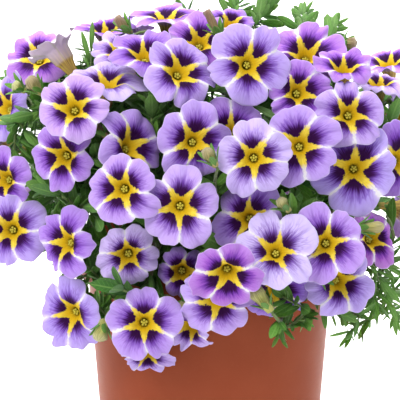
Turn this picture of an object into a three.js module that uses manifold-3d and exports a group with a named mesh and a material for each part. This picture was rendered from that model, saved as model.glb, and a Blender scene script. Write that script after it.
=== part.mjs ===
// A potted calibrachoa in a 12 cm plastic pot, in millimetres with +Z up.
// The origin is the middle of the pot's underside, and the photograph looks along +Y.
// Eight leafy shoots rise from the soil. Each bloom that the photograph shows is a piece of its own,
// and the blooms of the far side are grown onto their shoots.

import * as THREE from 'three';
import { mergeVertices } from 'three/addons/utils/BufferGeometryUtils.js';
import Module from 'manifold-3d';

const wasm = await Module();
wasm.setup();

// Pot
const POT_HEIGHT = 108;
const RIM_RADIUS = 60;
const COLLAR_FOOT_RADIUS = 57.3;
const COLLAR_HEIGHT = 11;
const BODY_TOP_RADIUS = 53;
const BASE_RADIUS = 46;
const WALL = 1.6;
const BASE_THICKNESS = 2;
const CHANNEL_RISE = 3;
const CHANNEL_INNER = 24;
const CHANNEL_OUTER = 40;
const DRAIN_HOLES = 6;
const DRAIN_RADIUS = 4;
const POT_SIDES = 28;
const COLLAR_STEP = 2;
const RIM_EDGE = 1;
const RIM_EASE = 0.4;
const CHANNEL_SLOPE = 2;
const HOLE_SIDES = 6;

// Soil
const CLEARANCE = 0.3;
const SOIL_EDGE_Z = 99;
const SOIL_MOUND = 4;
const STEM_RING = 15;
const HOLE_DEPTH = 12;
const SOIL_LIFT = 1.5 * CLEARANCE;
const SOIL_SHOULDER = 0.6;
const SOIL_SHOULDER_RISE = 0.7;

// Shoots
const SHOOTS = 8;
const STEM_RADIUS = 1.1;
const STEM_TAPER = 0.08;
const STEM_SIDES = 4;
const SWINGS = [0, 0.08, -0.08, 0.16, -0.16, 0.24, -0.24];
const STALK_RADIUS = 0.75;
const CUP_RADIUS = 1.7;
const CUP_LENGTH = 2.4;
const STALK_LEADS = [7, 3];
const STALK_BOWS = [0, 5, 10, 16, 24];
const STALK_SIDES = 3;
const FACE_STEPS = 12;
const FACE_TURN = 0.2;
const LEAD_SHARE = 0.5;
const EARLY_SHARE = 0.4;
const JOINT_EASE = 0.06;
const BOW_TURNS = [0, 1, 2, 3, 4, 5].map((k) => (k * Math.PI) / 3);
const TWIG_RADIUS = 0.9;
const TWIG_TIP_RADIUS = 0.4;
const RING_TWIST = 0.2;
const ANCHOR_STEP = 3.5;
const ANCHOR_TRIES = 9;
const ANCHOR_MARGIN = 0.4;

// The branches of a shoot, as distances out from the pot's axis and heights above its rim
const CROTCH = [24, 8];
const ELBOW = [44, 17];
const ARM_END = [62, 27];
const RISING = [[27, 30], [32, 52], [31, 72]];
const HANGING = [[57, 11], [65.5, -1], [64, -14], [62, -26]];

// Blooms
const TUBE_LENGTH = 13;
const TUBE_RADIUS = 3.2;
const TUBE_END_RADIUS = 1.2;
const TUBE_SHOULDER = 4;
const MOUTH_RADIUS = 2.6;
const MOUTH_SINK = 1.2;
const THROAT_DEPTH = 8;
const NOTCH_SHARE = 0.8;
const LOBE_HALF = 17;
const MID_SHARE = 0.55;
const MID_RISE = 0.8;
const MID_CUP_SHARE = 0.45;
const PETAL_THICKNESS = 1;
const ARMS = 5;
const PLAIN_BELOW = 30.5;
const SLIDE_STEP = 0.5;
const SLIDE_TRIES = 80;

// Buds
const BUD_TIMES = [0, 0.3, 0.75, 1];
const BUD_SHARES = [0.5, 0.42, 0.46, 0.12];
const BUD_SIDES = 5;
const BUD_TILT = 2;
const BUD_OVERLAP = 1;
const BUD_TRIES = 30;

// Leaves
const LEAF_THICKNESS = 0.7;
const LEAF_BELLY = 0.45;
const LEAF_DROOP = 0.1;
const LEAF_LEAN = 0.35;
const LEAF_LEAN_GAIN = 0.6;
const LEAF_LEAN_SPREAD = 0.2;
const LEAF_SIZE_LEAST = 0.85;
const LEAF_SIZE_SPREAD = 0.3;
const WHORLS = [0.15, 0.5, 0.85];
const TWIG_SHIFTS = [0, -6, 6, -12, 12];
const TWIG_SINK = 8;
const TWIG_SEED = 22;

// The photograph's frame: its scale at the pot's axis, its camera and the middle of the pot's rim in it
const PIXEL = 0.435;
const CAMERA_DISTANCE = 900;
const CAMERA_DOWN = THREE.MathUtils.degToRad(13);
const FRAME_MIDDLE = 200;
const AXIS_PIXEL = 210;
const RIM_PIXEL = 244;

// The canopy: its middle in the frame's pixels, and its half sizes seen from the front
const CANOPY_PIXEL_X = 205;
const CANOPY_PIXEL_Y = 190;
const CANOPY_HALF_WIDTH = 100;
const CANOPY_HALF_HEIGHT = 86;
const CANOPY_DEPTH = 88;

// The far side of the canopy, as an ellipsoid about the same middle
const FAR_RADII = new THREE.Vector3(95, 86, 78);
const FAR_BLOOMS = 58;
const FAR_TWIGS = 22;
const FAR_TWIG_LENGTH = 14;
const FAR_LEAF_LENGTH = 13;
const FAR_LEAF_WIDTH = 5;
const TURN_STEP = 2.39996;
const FAR_LOWEST = 100;
const CROWN_FROM = 0.8;
const CROWN_DEPTH = 8;
const FAR_DEPTH = -6;
const SEEN_LEFT = -92;
const SEEN_RIGHT = 85;
const FAR_BLOOM_TURN = 0.4;
const FAR_TWIG_TURN = 1.9;
const FAR_TWIG_SCALE = 0.98;
const FAR_ACROSS = 29;
const FAR_ACROSS_SPREAD = 4;
const FAR_CUP_SPREAD = 2;
const FAR_SPIN_SPREAD = 1.2;
const FAR_OVERLAP = 1.2;
const FAR_STEP = 1;
const FAR_TRIES = 16;
const FAR_SEED = 7;

// Blooms in the photograph, from the back to the front. Each row holds a name, the throat's pixel,
// the pixel where one yellow arm ends, the width across in millimetres, how far the bloom faces right
// and up in degrees, how far it stands out of the canopy, the rise of its rim and its tone from pale 0
// to violet 1.
const BLOOMS = [
  ['top_edge', 167, 18, 150, 21, 33, 0, 70, -12, 1, 0.9],
  ['top_peek', 230, 24, 221, 12, 24, 10, 50, -18, 1, 0.8],
  ['top_back', 199, 42, 190, 26, 31, 0, 35, -16, 0, 0.85],
  ['top_side', 106, 33, 118, 37, 28, -10, 64, -14, 4, 1],
  ['left_pale', 122, 52, 112, 46, 30, 0, 45, -22, 0, 0.2],
  ['top_dark', 145, 55, 140, 38, 31, 5, 50, -12, 2, 0.9],
  ['right_pale', 378, 84, 369, 80, 26, 0, 66, -8, 1, 0.1],
  ['right_rim_upper', 402, 114, 396, 106, 22, 40, 10, -12, 0, 0.3],
  ['right_rim', 399, 160, 388, 148, 33, 32, 0, -6, 0, 1],
  ['left_rim_upper', 4, 108, 14, 97, 33, -48, 12, -6, 0, 0.5],
  ['left_rim', 4, 180, 13, 163, 30, -36, 0, -6, 0, 0.9],
  ['centre_back', 230, 134, 232, 106, 33, 0, 8, -14, 0, 0.8],
  ['upper_right_back', 306, 55, 293, 30, 33, 5, 35, -8, 1, 0.9],
  ['right_cup', 344, 69, 344, 55, 27, 5, 55, -6, 2, 0.9],
  ['right_corner', 388, 63, 374, 59, 28, -20, 60, -4, 1, 0.9],
  ['right_inner_back', 299, 92, 314, 69, 30, 15, 10, -8, 0, 0.9],
  ['right_low', 373, 238, 385, 226, 27, 30, 14, -8, 0, 0.95],
  ['low_inner', 249, 218, 219, 212, 31, -8, 5, -8, 0, 0.7],
  ['low_shaded', 276, 292, 277, 307, 30, 0, -35, -10, 0, 1],
  ['low_behind', 182, 272, 170, 266, 22, 0, -8, -18, 0, 0.8],
  ['left_low_back', 128, 255, 124, 231, 28, 0, -10, -8, 0, 0.1],
  ['left_upper', 107, 83, 132, 72, 34, 0, 60, -8, 1, 0.1],
  ['left_crown', 38, 57, 22, 33, 31, -8, 30, 0, 0, 0.85],
  ['left_funnel', 62, 57, 51, 66, 25, -96, 55, 4, 8, 0.2],
  ['upper_middle', 180, 72, 213, 57, 34, 22, 24, 0, 1, 0.5],
  ['right_upper', 350, 114, 361, 92, 30, 10, 10, -2, 0, 0.45],
  ['left_inner', 131, 147, 123, 115, 34, 44, 14, -2, 1, 0.65],
  ['right_big', 355, 168, 335, 193, 38, 5, 5, 0, 0, 0.4],
  ['left_low_side', 65, 243, 87, 225, 30, -42, 0, 0, 0, 0.9],
  ['centre_upper', 194, 142, 178, 115, 33, 12, 0, 0, 0, 0.65],
  ['right_inner', 299, 146, 315, 111, 35, -4, 5, 2, 0, 0.65],
  ['low_left_back', 190, 328, 182, 319, 22, -40, -38, 4, 2, 0.3],
  ['low_foot', 147, 354, 140, 362, 23, 0, -45, 8, 2, 0.3],
  ['low_middle', 217, 301, 246, 312, 33, 0, -20, 0, 0, 0.55],
  ['right_low_front', 339, 282, 372, 271, 33, 20, -10, 4, 0, 0.4],
  ['left_middle', 63, 157, 38, 142, 31, -25, -10, 2, 0, 0.85],
  ['left_front', 73, 108, 65, 80, 31, -10, 18, 6, 0, 0.3],
  ['right_middle', 327, 243, 331, 205, 33, 5, 5, 4, 0, 0.7],
  ['upper_big', 249, 64, 252, 30, 37, 15, 5, 6, 0, 0.5],
  ['centre_left', 122, 189, 127, 172, 31, -15, 0, 4, 0, 0.6],
  ['centre_right', 254, 158, 237, 139, 33, 0, 0, 8, 0, 0.2],
  ['low_folded', 227, 273, 246, 288, 30, 0, -28, 6, 3, 1],
  ['centre_front', 180, 206, 147, 213, 34, 0, 0, 8, 0, 0.45],
  ['left_outer', 11, 230, 20, 207, 32, -10, 0, 4, 0, 0.5],
  ['lower_left', 71, 314, 53, 282, 35, -35, -15, 6, 0, 0.5],
  ['lower_front', 144, 323, 129, 303, 33, 0, 0, 6, 0, 0.7],
  ['front_pale', 276, 251, 287, 213, 35, 0, 20, 9, 0, 0],
];

// Buds and spent tubes in the photograph: the pixels of the foot and of the tip, the thickness in
// millimetres and how far they stand out of the canopy.
const BUDS = [
  [271, 311, 253, 287, 5, 16],
  [105, 320, 98, 341, 5, 10],
  [289, 211, 279, 199, 4, 2],
  [216, 166, 205, 149, 4.5, 4],
  [131, 33, 116, 17, 4.5, -14],
  [222, 38, 206, 10, 4, -12],
  [337, 47, 356, 41, 5, -6],
  [107, 136, 89, 121, 5.5, -4],
  [44, 94, 28, 78, 5.5, 2],
  [25, 91, 13, 84, 3.6, 4],
  [193, 311, 179, 305, 3.6, -8],
  [315, 273, 331, 278, 3.6, 4],
  [355, 228, 384, 226, 4, 4],
];

// Leafy twigs in the photograph: the pixels of the tip and of the foot of the leafy stretch,
// how far it stands out of the canopy, and the leaves' length and width in millimetres.
const TWIGS = [
  [92, 40, 90, 68, -4, 13, 2.4],
  [104, 57, 84, 66, -4, 13, 6],
  [237, 4, 232, 26, -16, 13, 3],
  [268, 7, 256, 24, -14, 12, 4.5],
  [304, 14, 301, 34, -14, 11, 4],
  [334, 21, 329, 46, -10, 11, 4],
  [11, 79, 27, 97, -2, 11, 4],
  [17, 124, 40, 112, -4, 13, 5],
  [150, 90, 152, 124, -6, 14, 5.5],
  [192, 92, 172, 108, -8, 13, 5.5],
  [91, 147, 104, 170, -6, 13, 5.5],
  [74, 206, 86, 238, -6, 13, 5],
  [84, 262, 112, 292, -2, 17, 7],
  [62, 289, 88, 274, 0, 14, 4.5],
  [98, 306, 122, 332, 0, 14, 5],
  [217, 158, 224, 198, -4, 13, 5.5],
  [394, 238, 378, 284, -2, 14, 2.6],
  [396, 318, 374, 268, 0, 14, 2.6],
  [346, 337, 394, 296, 4, 12, 3],
  [306, 321, 300, 300, 6, 8, 3],
  [283, 297, 304, 308, 6, 11, 4.5],
  [340, 312, 318, 300, 2, 11, 4.5],
  [392, 104, 386, 134, -6, 13, 5],
  [120, 288, 140, 300, -6, 15, 6.5],
];

// A small seeded generator of numbers from 0 to 1
function seeded(seed) {
  let state = seed >>> 0;
  return () => {
    state = (Math.imul(state, 1664525) + 1013904223) >>> 0;
    return state / 4294967296;
  };
}

// Places in the photograph
const RIGHT = new THREE.Vector3(1, 0, 0);
const UP = new THREE.Vector3(0, Math.sin(CAMERA_DOWN), Math.cos(CAMERA_DOWN));
const NEARER = new THREE.Vector3(0, -Math.cos(CAMERA_DOWN), Math.sin(CAMERA_DOWN));
const FRAME_CENTRE = new THREE.Vector3(0, 0, POT_HEIGHT)
  .addScaledVector(RIGHT, (FRAME_MIDDLE - AXIS_PIXEL) * PIXEL)
  .addScaledVector(UP, (RIM_PIXEL - FRAME_MIDDLE) * PIXEL);

// The point that a pixel shows at a depth, in millimetres nearer than the pot's axis.
function pointAt(x, y, depth) {
  const scale = (PIXEL * (CAMERA_DISTANCE - depth)) / CAMERA_DISTANCE;
  return FRAME_CENTRE.clone()
    .addScaledVector(RIGHT, (x - FRAME_MIDDLE) * scale)
    .addScaledVector(UP, (FRAME_MIDDLE - y) * scale)
    .addScaledVector(NEARER, depth);
}

// The depth of the canopy's front at a pixel.
function canopyDepth(x, y) {
  const across = ((x - CANOPY_PIXEL_X) * PIXEL) / CANOPY_HALF_WIDTH;
  const up = ((CANOPY_PIXEL_Y - y) * PIXEL) / CANOPY_HALF_HEIGHT;
  return CANOPY_DEPTH * Math.sqrt(Math.max(0, 1 - across * across - up * up));
}

// A direction that faces right by turn and up by tilt, in degrees, from straight at the camera.
function facing(turn, tilt) {
  const t = THREE.MathUtils.degToRad(turn);
  const u = THREE.MathUtils.degToRad(tilt);
  return new THREE.Vector3()
    .addScaledVector(RIGHT, Math.sin(t) * Math.cos(u))
    .addScaledVector(UP, Math.sin(u))
    .addScaledVector(NEARER, Math.cos(t) * Math.cos(u));
}

// Two unit vectors across a normal, the second as near to a wanted up as can be.
function acrossNormal(normal, up) {
  const y = up.clone().addScaledVector(normal, -up.dot(normal)).normalize();
  return [new THREE.Vector3().crossVectors(y, normal), y];
}

// The angle about the normal at which a bloom's arm lies, from the arm's way across the photograph.
function armAngle(normal, right, up) {
  const [x, y] = acrossNormal(normal, UP);
  const det = x.dot(RIGHT) * y.dot(UP) - y.dot(RIGHT) * x.dot(UP);
  const a = (right * y.dot(UP) - up * y.dot(RIGHT)) / det;
  const b = (up * x.dot(RIGHT) - right * x.dot(UP)) / det;
  return Math.atan2(b, a);
}

// Geometry from a list of points and a list of triangles.
function meshOf(points, faces) {
  const geometry = new THREE.BufferGeometry();
  geometry.setAttribute('position', new THREE.Float32BufferAttribute(points.flat(), 3));
  geometry.setIndex(faces.flat());
  return geometry;
}

// A three.js geometry as a solid that can be joined and cut.
function solidOf(geometry) {
  const bare = geometry.clone();
  bare.deleteAttribute('normal');
  bare.deleteAttribute('uv');
  const merged = mergeVertices(bare, 1e-4);
  return new wasm.Manifold(new wasm.Mesh({
    numProp: 3,
    vertProperties: new Float32Array(merged.attributes.position.array),
    triVerts: new Uint32Array(merged.index.array),
  }));
}

// A solid as geometry again, with its shortest edges eased away. A loose scrap or a hollow that joining
// has sealed is left out.
function geometryOf(solid) {
  const pieces = solid.simplify(JOINT_EASE).decompose().sort((a, b) => b.volume() - a.volume());
  const mesh = pieces[0].getMesh();
  const geometry = new THREE.BufferGeometry();
  geometry.setAttribute('position', new THREE.BufferAttribute(mesh.vertProperties, 3));
  geometry.setIndex(new THREE.BufferAttribute(mesh.triVerts, 1));
  geometry.computeVertexNormals();
  return geometry;
}

// A solid placed with its own axes along three given directions.
function posed(geometry, origin, x, y, z) {
  const pose = new THREE.Matrix4().makeBasis(x, y, z).setPosition(origin);
  return solidOf(geometry.clone().applyMatrix4(pose));
}

// What stands already, each solid with its owner and its box.
const standing = [];

function stand(owner, solid) {
  standing.push({ owner, solid, box: solid.boundingBox() });
  return solid;
}

function boxesMeet(a, b) {
  return [0, 1, 2].every((i) => a.min[i] < b.max[i] && b.min[i] < a.max[i]);
}

// Whether a solid is clear of everything that stands, but for what has one of the given owners.
function isClear(solid, owners) {
  const box = solid.boundingBox();
  return standing.every((other) => {
    if (owners.includes(other.owner) || !boxesMeet(box, other.box)) return true;
    const common = solid.intersect(other.solid);
    const clear = common.isEmpty();
    common.delete();
    return clear;
  });
}

// The rings of points round a path, at a radius for each of its points.
function rodRings(path, radii, sides) {
  let across = new THREE.Vector3(0.31, 0.52, 0.79);
  return path.map((point, i) => {
    const before = path[Math.max(i - 1, 0)];
    const after = path[Math.min(i + 1, path.length - 1)];
    const along = after.clone().sub(before).normalize();
    across = across.clone().addScaledVector(along, -across.dot(along)).normalize();
    const other = new THREE.Vector3().crossVectors(along, across);
    return Array.from({ length: sides }, (_, k) => {
      const angle = (2 * Math.PI * k) / sides + i * RING_TWIST;
      return point.clone()
        .addScaledVector(across, radii[i] * Math.cos(angle))
        .addScaledVector(other, radii[i] * Math.sin(angle));
    });
  });
}

// A rod along a path, with a radius at each point. Leaves grow out of its faces, each from the face
// between one ring of points and the next, on a side of its own.
function rod(path, radii, sides, leaves = []) {
  const points = rodRings(path, radii, sides).flat().map((point) => point.toArray());
  const faces = [];
  for (let i = 0; i + 1 < path.length; i++) {
    for (let k = 0; k < sides; k++) {
      const a = i * sides + k;
      const b = i * sides + ((k + 1) % sides);
      const leaf = leaves.find((one) => one.ring === i && one.side === k);
      if (leaf) {
        const first = points.length;
        points.push(...leaf.points);
        faces.push(...leafFaces([a, b, b + sides, a + sides], [0, 1, 2, 3, 4].map((j) => first + j)));
      } else {
        faces.push([a, b, b + sides], [a, b + sides, a + sides]);
      }
    }
  }
  const last = (path.length - 1) * sides;
  for (let k = 1; k + 1 < sides; k++) {
    faces.push([0, k + 1, k], [last, last + k, last + k + 1]);
  }
  return meshOf(points, faces);
}

// A bloom about its own axis: five lobes round a narrow throat, and the tube behind them.
// A fine one has a ring of points halfway out, which a plain one has not. Skin thickens it all over.
function bloomGeometry(across, cup, fine, skin = 0) {
  const radius = across / 2;
  const points = [];
  const faces = [];
  const ring = (count, turned, size, height) => {
    const first = points.length;
    for (let k = 0; k < count; k++) {
      const angle = (2 * Math.PI * k) / count + turned;
      points.push([size * Math.cos(angle), size * Math.sin(angle), height]);
    }
    return Array.from({ length: count }, (_, k) => first + k);
  };
  const rim = points.length;
  for (let k = 0; k < ARMS; k++) {
    for (const [degrees, share] of [[0, NOTCH_SHARE], [36 - LOBE_HALF, 1], [36 + LOBE_HALF, 1]]) {
      const angle = THREE.MathUtils.degToRad(72 * k + degrees);
      const size = radius * share + skin;
      points.push([size * Math.cos(angle), size * Math.sin(angle), cup]);
    }
  }
  // One face of the limb, from an inner ring to the rim: the upper one, or turned over the lower one.
  const limb = (inner, middle, over) => {
    const add = (a, b, c) => faces.push(over ? [a, b, c] : [a, c, b]);
    for (let k = 0; k < ARMS; k++) {
      const [p, q] = [inner[k], inner[(k + 1) % ARMS]];
      const [s, a, b, t] = [0, 1, 2, 3].map((j) => rim + ((3 * k + j) % (3 * ARMS)));
      if (middle) {
        const [l, m, n] = [0, 1, 2].map((j) => middle[(2 * k + j) % (2 * ARMS)]);
        add(p, l, m);
        add(p, m, q);
        add(q, m, n);
        add(l, s, a);
        add(l, a, m);
        add(m, a, b);
        add(m, b, n);
        add(n, b, t);
      } else {
        add(p, s, a);
        add(p, a, b);
        add(p, b, q);
        add(q, b, t);
      }
    }
  };
  const middleZ = MID_RISE + MID_CUP_SHARE * cup;
  const middleSize = MID_SHARE * radius;
  const mouth = ring(ARMS, 0, MOUTH_RADIUS, -MOUTH_SINK + skin);
  const upper = fine && ring(2 * ARMS, 0, middleSize, middleZ + skin);
  const lower = fine && ring(2 * ARMS, 0, middleSize, middleZ - PETAL_THICKNESS - skin);
  const shoulder = ring(ARMS, 0, TUBE_RADIUS + skin, -TUBE_SHOULDER);
  const end = ring(ARMS, 0, TUBE_END_RADIUS + skin, -TUBE_LENGTH - skin);
  const throat = points.length;
  points.push([0, 0, -THROAT_DEPTH]);
  limb(mouth, upper, true);
  limb(shoulder, lower, false);
  for (let k = 0; k < ARMS; k++) {
    const next = (k + 1) % ARMS;
    faces.push([throat, mouth[k], mouth[next]]);
    faces.push([end[k], end[next], shoulder[next]], [end[k], shoulder[next], shoulder[k]]);
  }
  for (let k = 1; k + 1 < ARMS; k++) faces.push([end[0], end[k + 1], end[k]]);
  return meshOf(points, faces);
}

// A leaf's points: four round its belly and its tip. It grows out of a root, along a way, with its
// width along side and its thickness along its face.
function leafPoints(root, way, side, length, width, skin = 0) {
  const face = new THREE.Vector3().crossVectors(side, way);
  const belly = root.clone().addScaledVector(way, LEAF_BELLY * length);
  const half = width / 2 + skin;
  const thick = LEAF_THICKNESS / 2 + skin;
  const corners = [[-1, 1], [1, 1], [1, -1], [-1, -1]].map(([across, over]) => belly.clone()
    .addScaledVector(side, across * half).addScaledVector(face, over * thick));
  const tip = root.clone().addScaledVector(way, length + skin).addScaledVector(face, -LEAF_DROOP * length);
  return [...corners, tip].map((point) => point.toArray());
}

// The triangles of a leaf from the four points of its root to its own five.
function leafFaces(root, own) {
  const faces = [];
  for (let k = 0; k < 4; k++) {
    const next = (k + 1) % 4;
    faces.push([root[k], root[next], own[next]], [root[k], own[next], own[k]], [own[k], own[next], own[4]]);
  }
  return faces;
}

// The inside radius of the pot at a height above its floor.
function innerRadius(z) {
  const collarFoot = POT_HEIGHT - COLLAR_HEIGHT;
  if (z < collarFoot) {
    return BASE_RADIUS + ((BODY_TOP_RADIUS - BASE_RADIUS) * z) / collarFoot - WALL;
  }
  const share = (z - collarFoot) / COLLAR_HEIGHT;
  return COLLAR_FOOT_RADIUS + (RIM_RADIUS - COLLAR_FOOT_RADIUS) * share - WALL;
}

// The pot's wall and floor as one turned profile, with drain holes through the raised channel.
function potSolid() {
  const collarFoot = POT_HEIGHT - COLLAR_HEIGHT;
  const floor = BASE_THICKNESS;
  const profile = [
    [0, 0],
    [CHANNEL_INNER, 0],
    [CHANNEL_INNER + CHANNEL_SLOPE, CHANNEL_RISE],
    [CHANNEL_OUTER - CHANNEL_SLOPE, CHANNEL_RISE],
    [CHANNEL_OUTER, 0],
    [BASE_RADIUS, 0],
    [BODY_TOP_RADIUS, collarFoot - COLLAR_STEP],
    [COLLAR_FOOT_RADIUS, collarFoot],
    [RIM_RADIUS, POT_HEIGHT - RIM_EDGE],
    [RIM_RADIUS - RIM_EASE, POT_HEIGHT],
    [RIM_RADIUS - WALL, POT_HEIGHT],
    [innerRadius(collarFoot), collarFoot],
    [innerRadius(collarFoot - COLLAR_STEP), collarFoot - COLLAR_STEP],
    [innerRadius(floor), floor],
    [CHANNEL_OUTER + WALL, floor],
    [CHANNEL_OUTER + WALL - CHANNEL_SLOPE, floor + CHANNEL_RISE],
    [CHANNEL_INNER - WALL + CHANNEL_SLOPE, floor + CHANNEL_RISE],
    [CHANNEL_INNER - WALL, floor],
    [0, floor],
  ].map(([r, z]) => new THREE.Vector2(r, z));
  const turned = new THREE.LatheGeometry(profile, POT_SIDES).rotateX(Math.PI / 2);
  let pot = solidOf(turned);
  for (let k = 0; k < DRAIN_HOLES; k++) {
    const angle = (2 * Math.PI * k) / DRAIN_HOLES;
    const ring = (CHANNEL_INNER + CHANNEL_OUTER) / 2;
    const hole = new THREE.CylinderGeometry(DRAIN_RADIUS, DRAIN_RADIUS, 20, HOLE_SIDES).rotateX(Math.PI / 2)
      .translate(ring * Math.cos(angle), ring * Math.sin(angle), 0);
    pot = pot.subtract(solidOf(hole));
  }
  return pot;
}

// Where the shoots leave the soil, at equal turns round a small ring.
function stemFoot(index) {
  const angle = (2 * Math.PI * (index + 0.5)) / SHOOTS;
  return [angle, STEM_RING * Math.cos(angle), STEM_RING * Math.sin(angle)];
}

// The soil fills the pot to below its rim, mounded in the middle, with a hole for each shoot.
function soilSolid() {
  const floor = BASE_THICKNESS + CHANNEL_RISE + CLEARANCE;
  const collarFoot = POT_HEIGHT - COLLAR_HEIGHT;
  const edge = (z) => innerRadius(z) - CLEARANCE;
  const profile = [
    [0, floor],
    [edge(floor), floor],
    [edge(collarFoot - COLLAR_STEP), collarFoot - COLLAR_STEP + SOIL_LIFT],
    [edge(collarFoot), collarFoot + SOIL_LIFT],
    [edge(SOIL_EDGE_Z), SOIL_EDGE_Z],
    [SOIL_SHOULDER * edge(SOIL_EDGE_Z), SOIL_EDGE_Z + SOIL_SHOULDER_RISE * SOIL_MOUND],
    [0, SOIL_EDGE_Z + SOIL_MOUND],
  ].map(([r, z]) => new THREE.Vector2(r, z));
  let soil = solidOf(new THREE.LatheGeometry(profile, POT_SIDES).rotateX(Math.PI / 2));
  for (let k = 0; k < SHOOTS; k++) {
    const [, x, y] = stemFoot(k);
    const radius = STEM_RADIUS + 2 * CLEARANCE;
    const hole = new THREE.CylinderGeometry(radius, radius, 2 * HOLE_DEPTH, HOLE_SIDES).rotateX(Math.PI / 2)
      .translate(x, y, SOIL_EDGE_Z + SOIL_MOUND);
    soil = soil.subtract(solidOf(hole));
  }
  return soil;
}

// A point at an angle round the pot's axis, a distance out and a height above the rim.
function polar(angle, [out, rise]) {
  return new THREE.Vector3(out * Math.cos(angle), out * Math.sin(angle), POT_HEIGHT + rise);
}

// The three branches of a shoot: outwards, upwards and down over the rim. The last two start at places
// on the first and swing aside from there.
function branchPaths(index, swing) {
  const [angle] = stemFoot(index);
  const bent = (place) => polar(angle + swing, place);
  const crotch = polar(angle, CROTCH);
  const elbow = polar(angle, ELBOW);
  const crown = SOIL_EDGE_Z + SOIL_MOUND + 1 - POT_HEIGHT;
  const root = polar(angle, [STEM_RING, crown - HOLE_DEPTH]);
  const collar = polar(angle, [STEM_RING, crown]);
  return [
    [root, collar, crotch, elbow, bent(ARM_END)],
    [crotch, ...RISING.map(bent)],
    [elbow, ...HANGING.map(bent)],
  ];
}

const shoots = [];

// The faces of the photograph's blooms, which stalks keep from passing in front of
const faces = [];

// The shoot whose turn about the pot's axis a point falls in.
function shootAt(point) {
  const angle = (Math.atan2(point.y, point.x) + 2 * Math.PI) % (2 * Math.PI);
  return shoots[Math.floor((angle * SHOOTS) / (2 * Math.PI)) % SHOOTS];
}

// A shoot's branches, each swung clear of the blooms, and the places along them where stalks can start.
function growBranches(index) {
  const name = `shoot_${index + 1}`;
  const parts = [];
  const anchors = [];
  for (let branch = 0; branch < 3; branch++) {
    for (const swing of SWINGS) {
      const path = branchPaths(index, swing)[branch];
      const radii = path.map((_, i) => STEM_RADIUS * (1 - STEM_TAPER * i));
      const thick = radii.map((r) => r + CLEARANCE);
      if (branch > 0 && !isClear(solidOf(rod(path, thick, STEM_SIDES)), [name])) continue;
      parts.push(stand(name, solidOf(rod(path, radii, STEM_SIDES))));
      for (let i = branch === 0 ? 2 : 1; i < path.length; i++) {
        const count = Math.floor(path[i].distanceTo(path[i - 1]) / ANCHOR_STEP);
        for (let k = 1; k <= count; k++) {
          anchors.push(path[i - 1].clone().lerp(path[i], k / (count + ANCHOR_MARGIN)));
        }
      }
      break;
    }
  }
  return { name, parts, anchors };
}

// The ways that a stalk can be tried: how strongly it bows, the turn of the bow and the length of its
// straight lead, the mildest first.
const BOWS = STALK_BOWS.flatMap((bow) => STALK_LEADS.flatMap((lead) => (
  bow ? BOW_TURNS.map((turn) => [bow, turn, lead]) : [[0, 0, lead]])));

// Whether a curve passes in front of a bloom's face as the camera sees it.
function crossesFace(curve) {
  return curve.getPoints(FACE_STEPS).some((point) => faces.some(({ origin, normal, radius }) => {
    const slope = normal.dot(NEARER);
    if (slope < FACE_TURN) return false;
    const off = point.clone().sub(origin);
    const along = off.dot(NEARER);
    const line = off.addScaledVector(NEARER, -along);
    const height = -line.dot(normal) / slope;
    return line.addScaledVector(NEARER, height).length() < radius && along > height;
  }));
}

// A stalk from a place on a shoot to an end, arriving along a direction, with more of it beyond the end
// where a tail is given. Each place carries one stalk, bent clear of all else but its shoot's branches.
// One that passes in front of a bloom's face is taken only where no other is clear.
function findStalk(shoot, end, direction, endRadius, excused, tail = [], tailRadii = []) {
  const near = [...shoot.anchors].sort((a, b) => a.distanceTo(end) - b.distanceTo(end))
    .slice(0, ANCHOR_TRIES);
  const [side, over] = acrossNormal(direction, UP);
  const cupFoot = end.clone().addScaledVector(direction, -CUP_LENGTH);
  const radii = [STALK_RADIUS, STALK_RADIUS, STALK_RADIUS, endRadius, ...tailRadii];
  const thick = radii.map((r) => r + CLEARANCE);
  let found = null;
  for (const [bow, turn, leadLength, anchor] of BOWS.flatMap((way) => near.map((one) => [...way, one]))) {
    const sway = side.clone().multiplyScalar(Math.cos(turn)).addScaledVector(over, Math.sin(turn));
    const lead = cupFoot.clone().addScaledVector(direction, -leadLength)
      .addScaledVector(sway, LEAD_SHARE * bow);
    const early = anchor.clone().lerp(lead, EARLY_SHARE).addScaledVector(sway, bow);
    const curve = new THREE.CubicBezierCurve3(anchor, early, lead, cupFoot);
    const crosses = crossesFace(curve);
    if (found && crosses) continue;
    const path = [anchor, curve.getPoint(0.5), cupFoot, end, ...tail];
    if (!isClear(solidOf(rod(path, thick, STALK_SIDES)), [shoot.name, ...excused])) continue;
    found = { anchor, path };
    if (!crosses) break;
  }
  if (!found) return null;
  shoot.anchors.splice(shoot.anchors.indexOf(found.anchor), 1);
  return { path: found.path, radii };
}

// Stands a found stalk and joins it to its shoot.
function addStalk(shoot, stalk, leaves = []) {
  const solid = solidOf(rod(stalk.path, stalk.radii, STALK_SIDES, leaves));
  shoot.parts.push(stand(`${shoot.name}_stalk`, solid));
}

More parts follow.
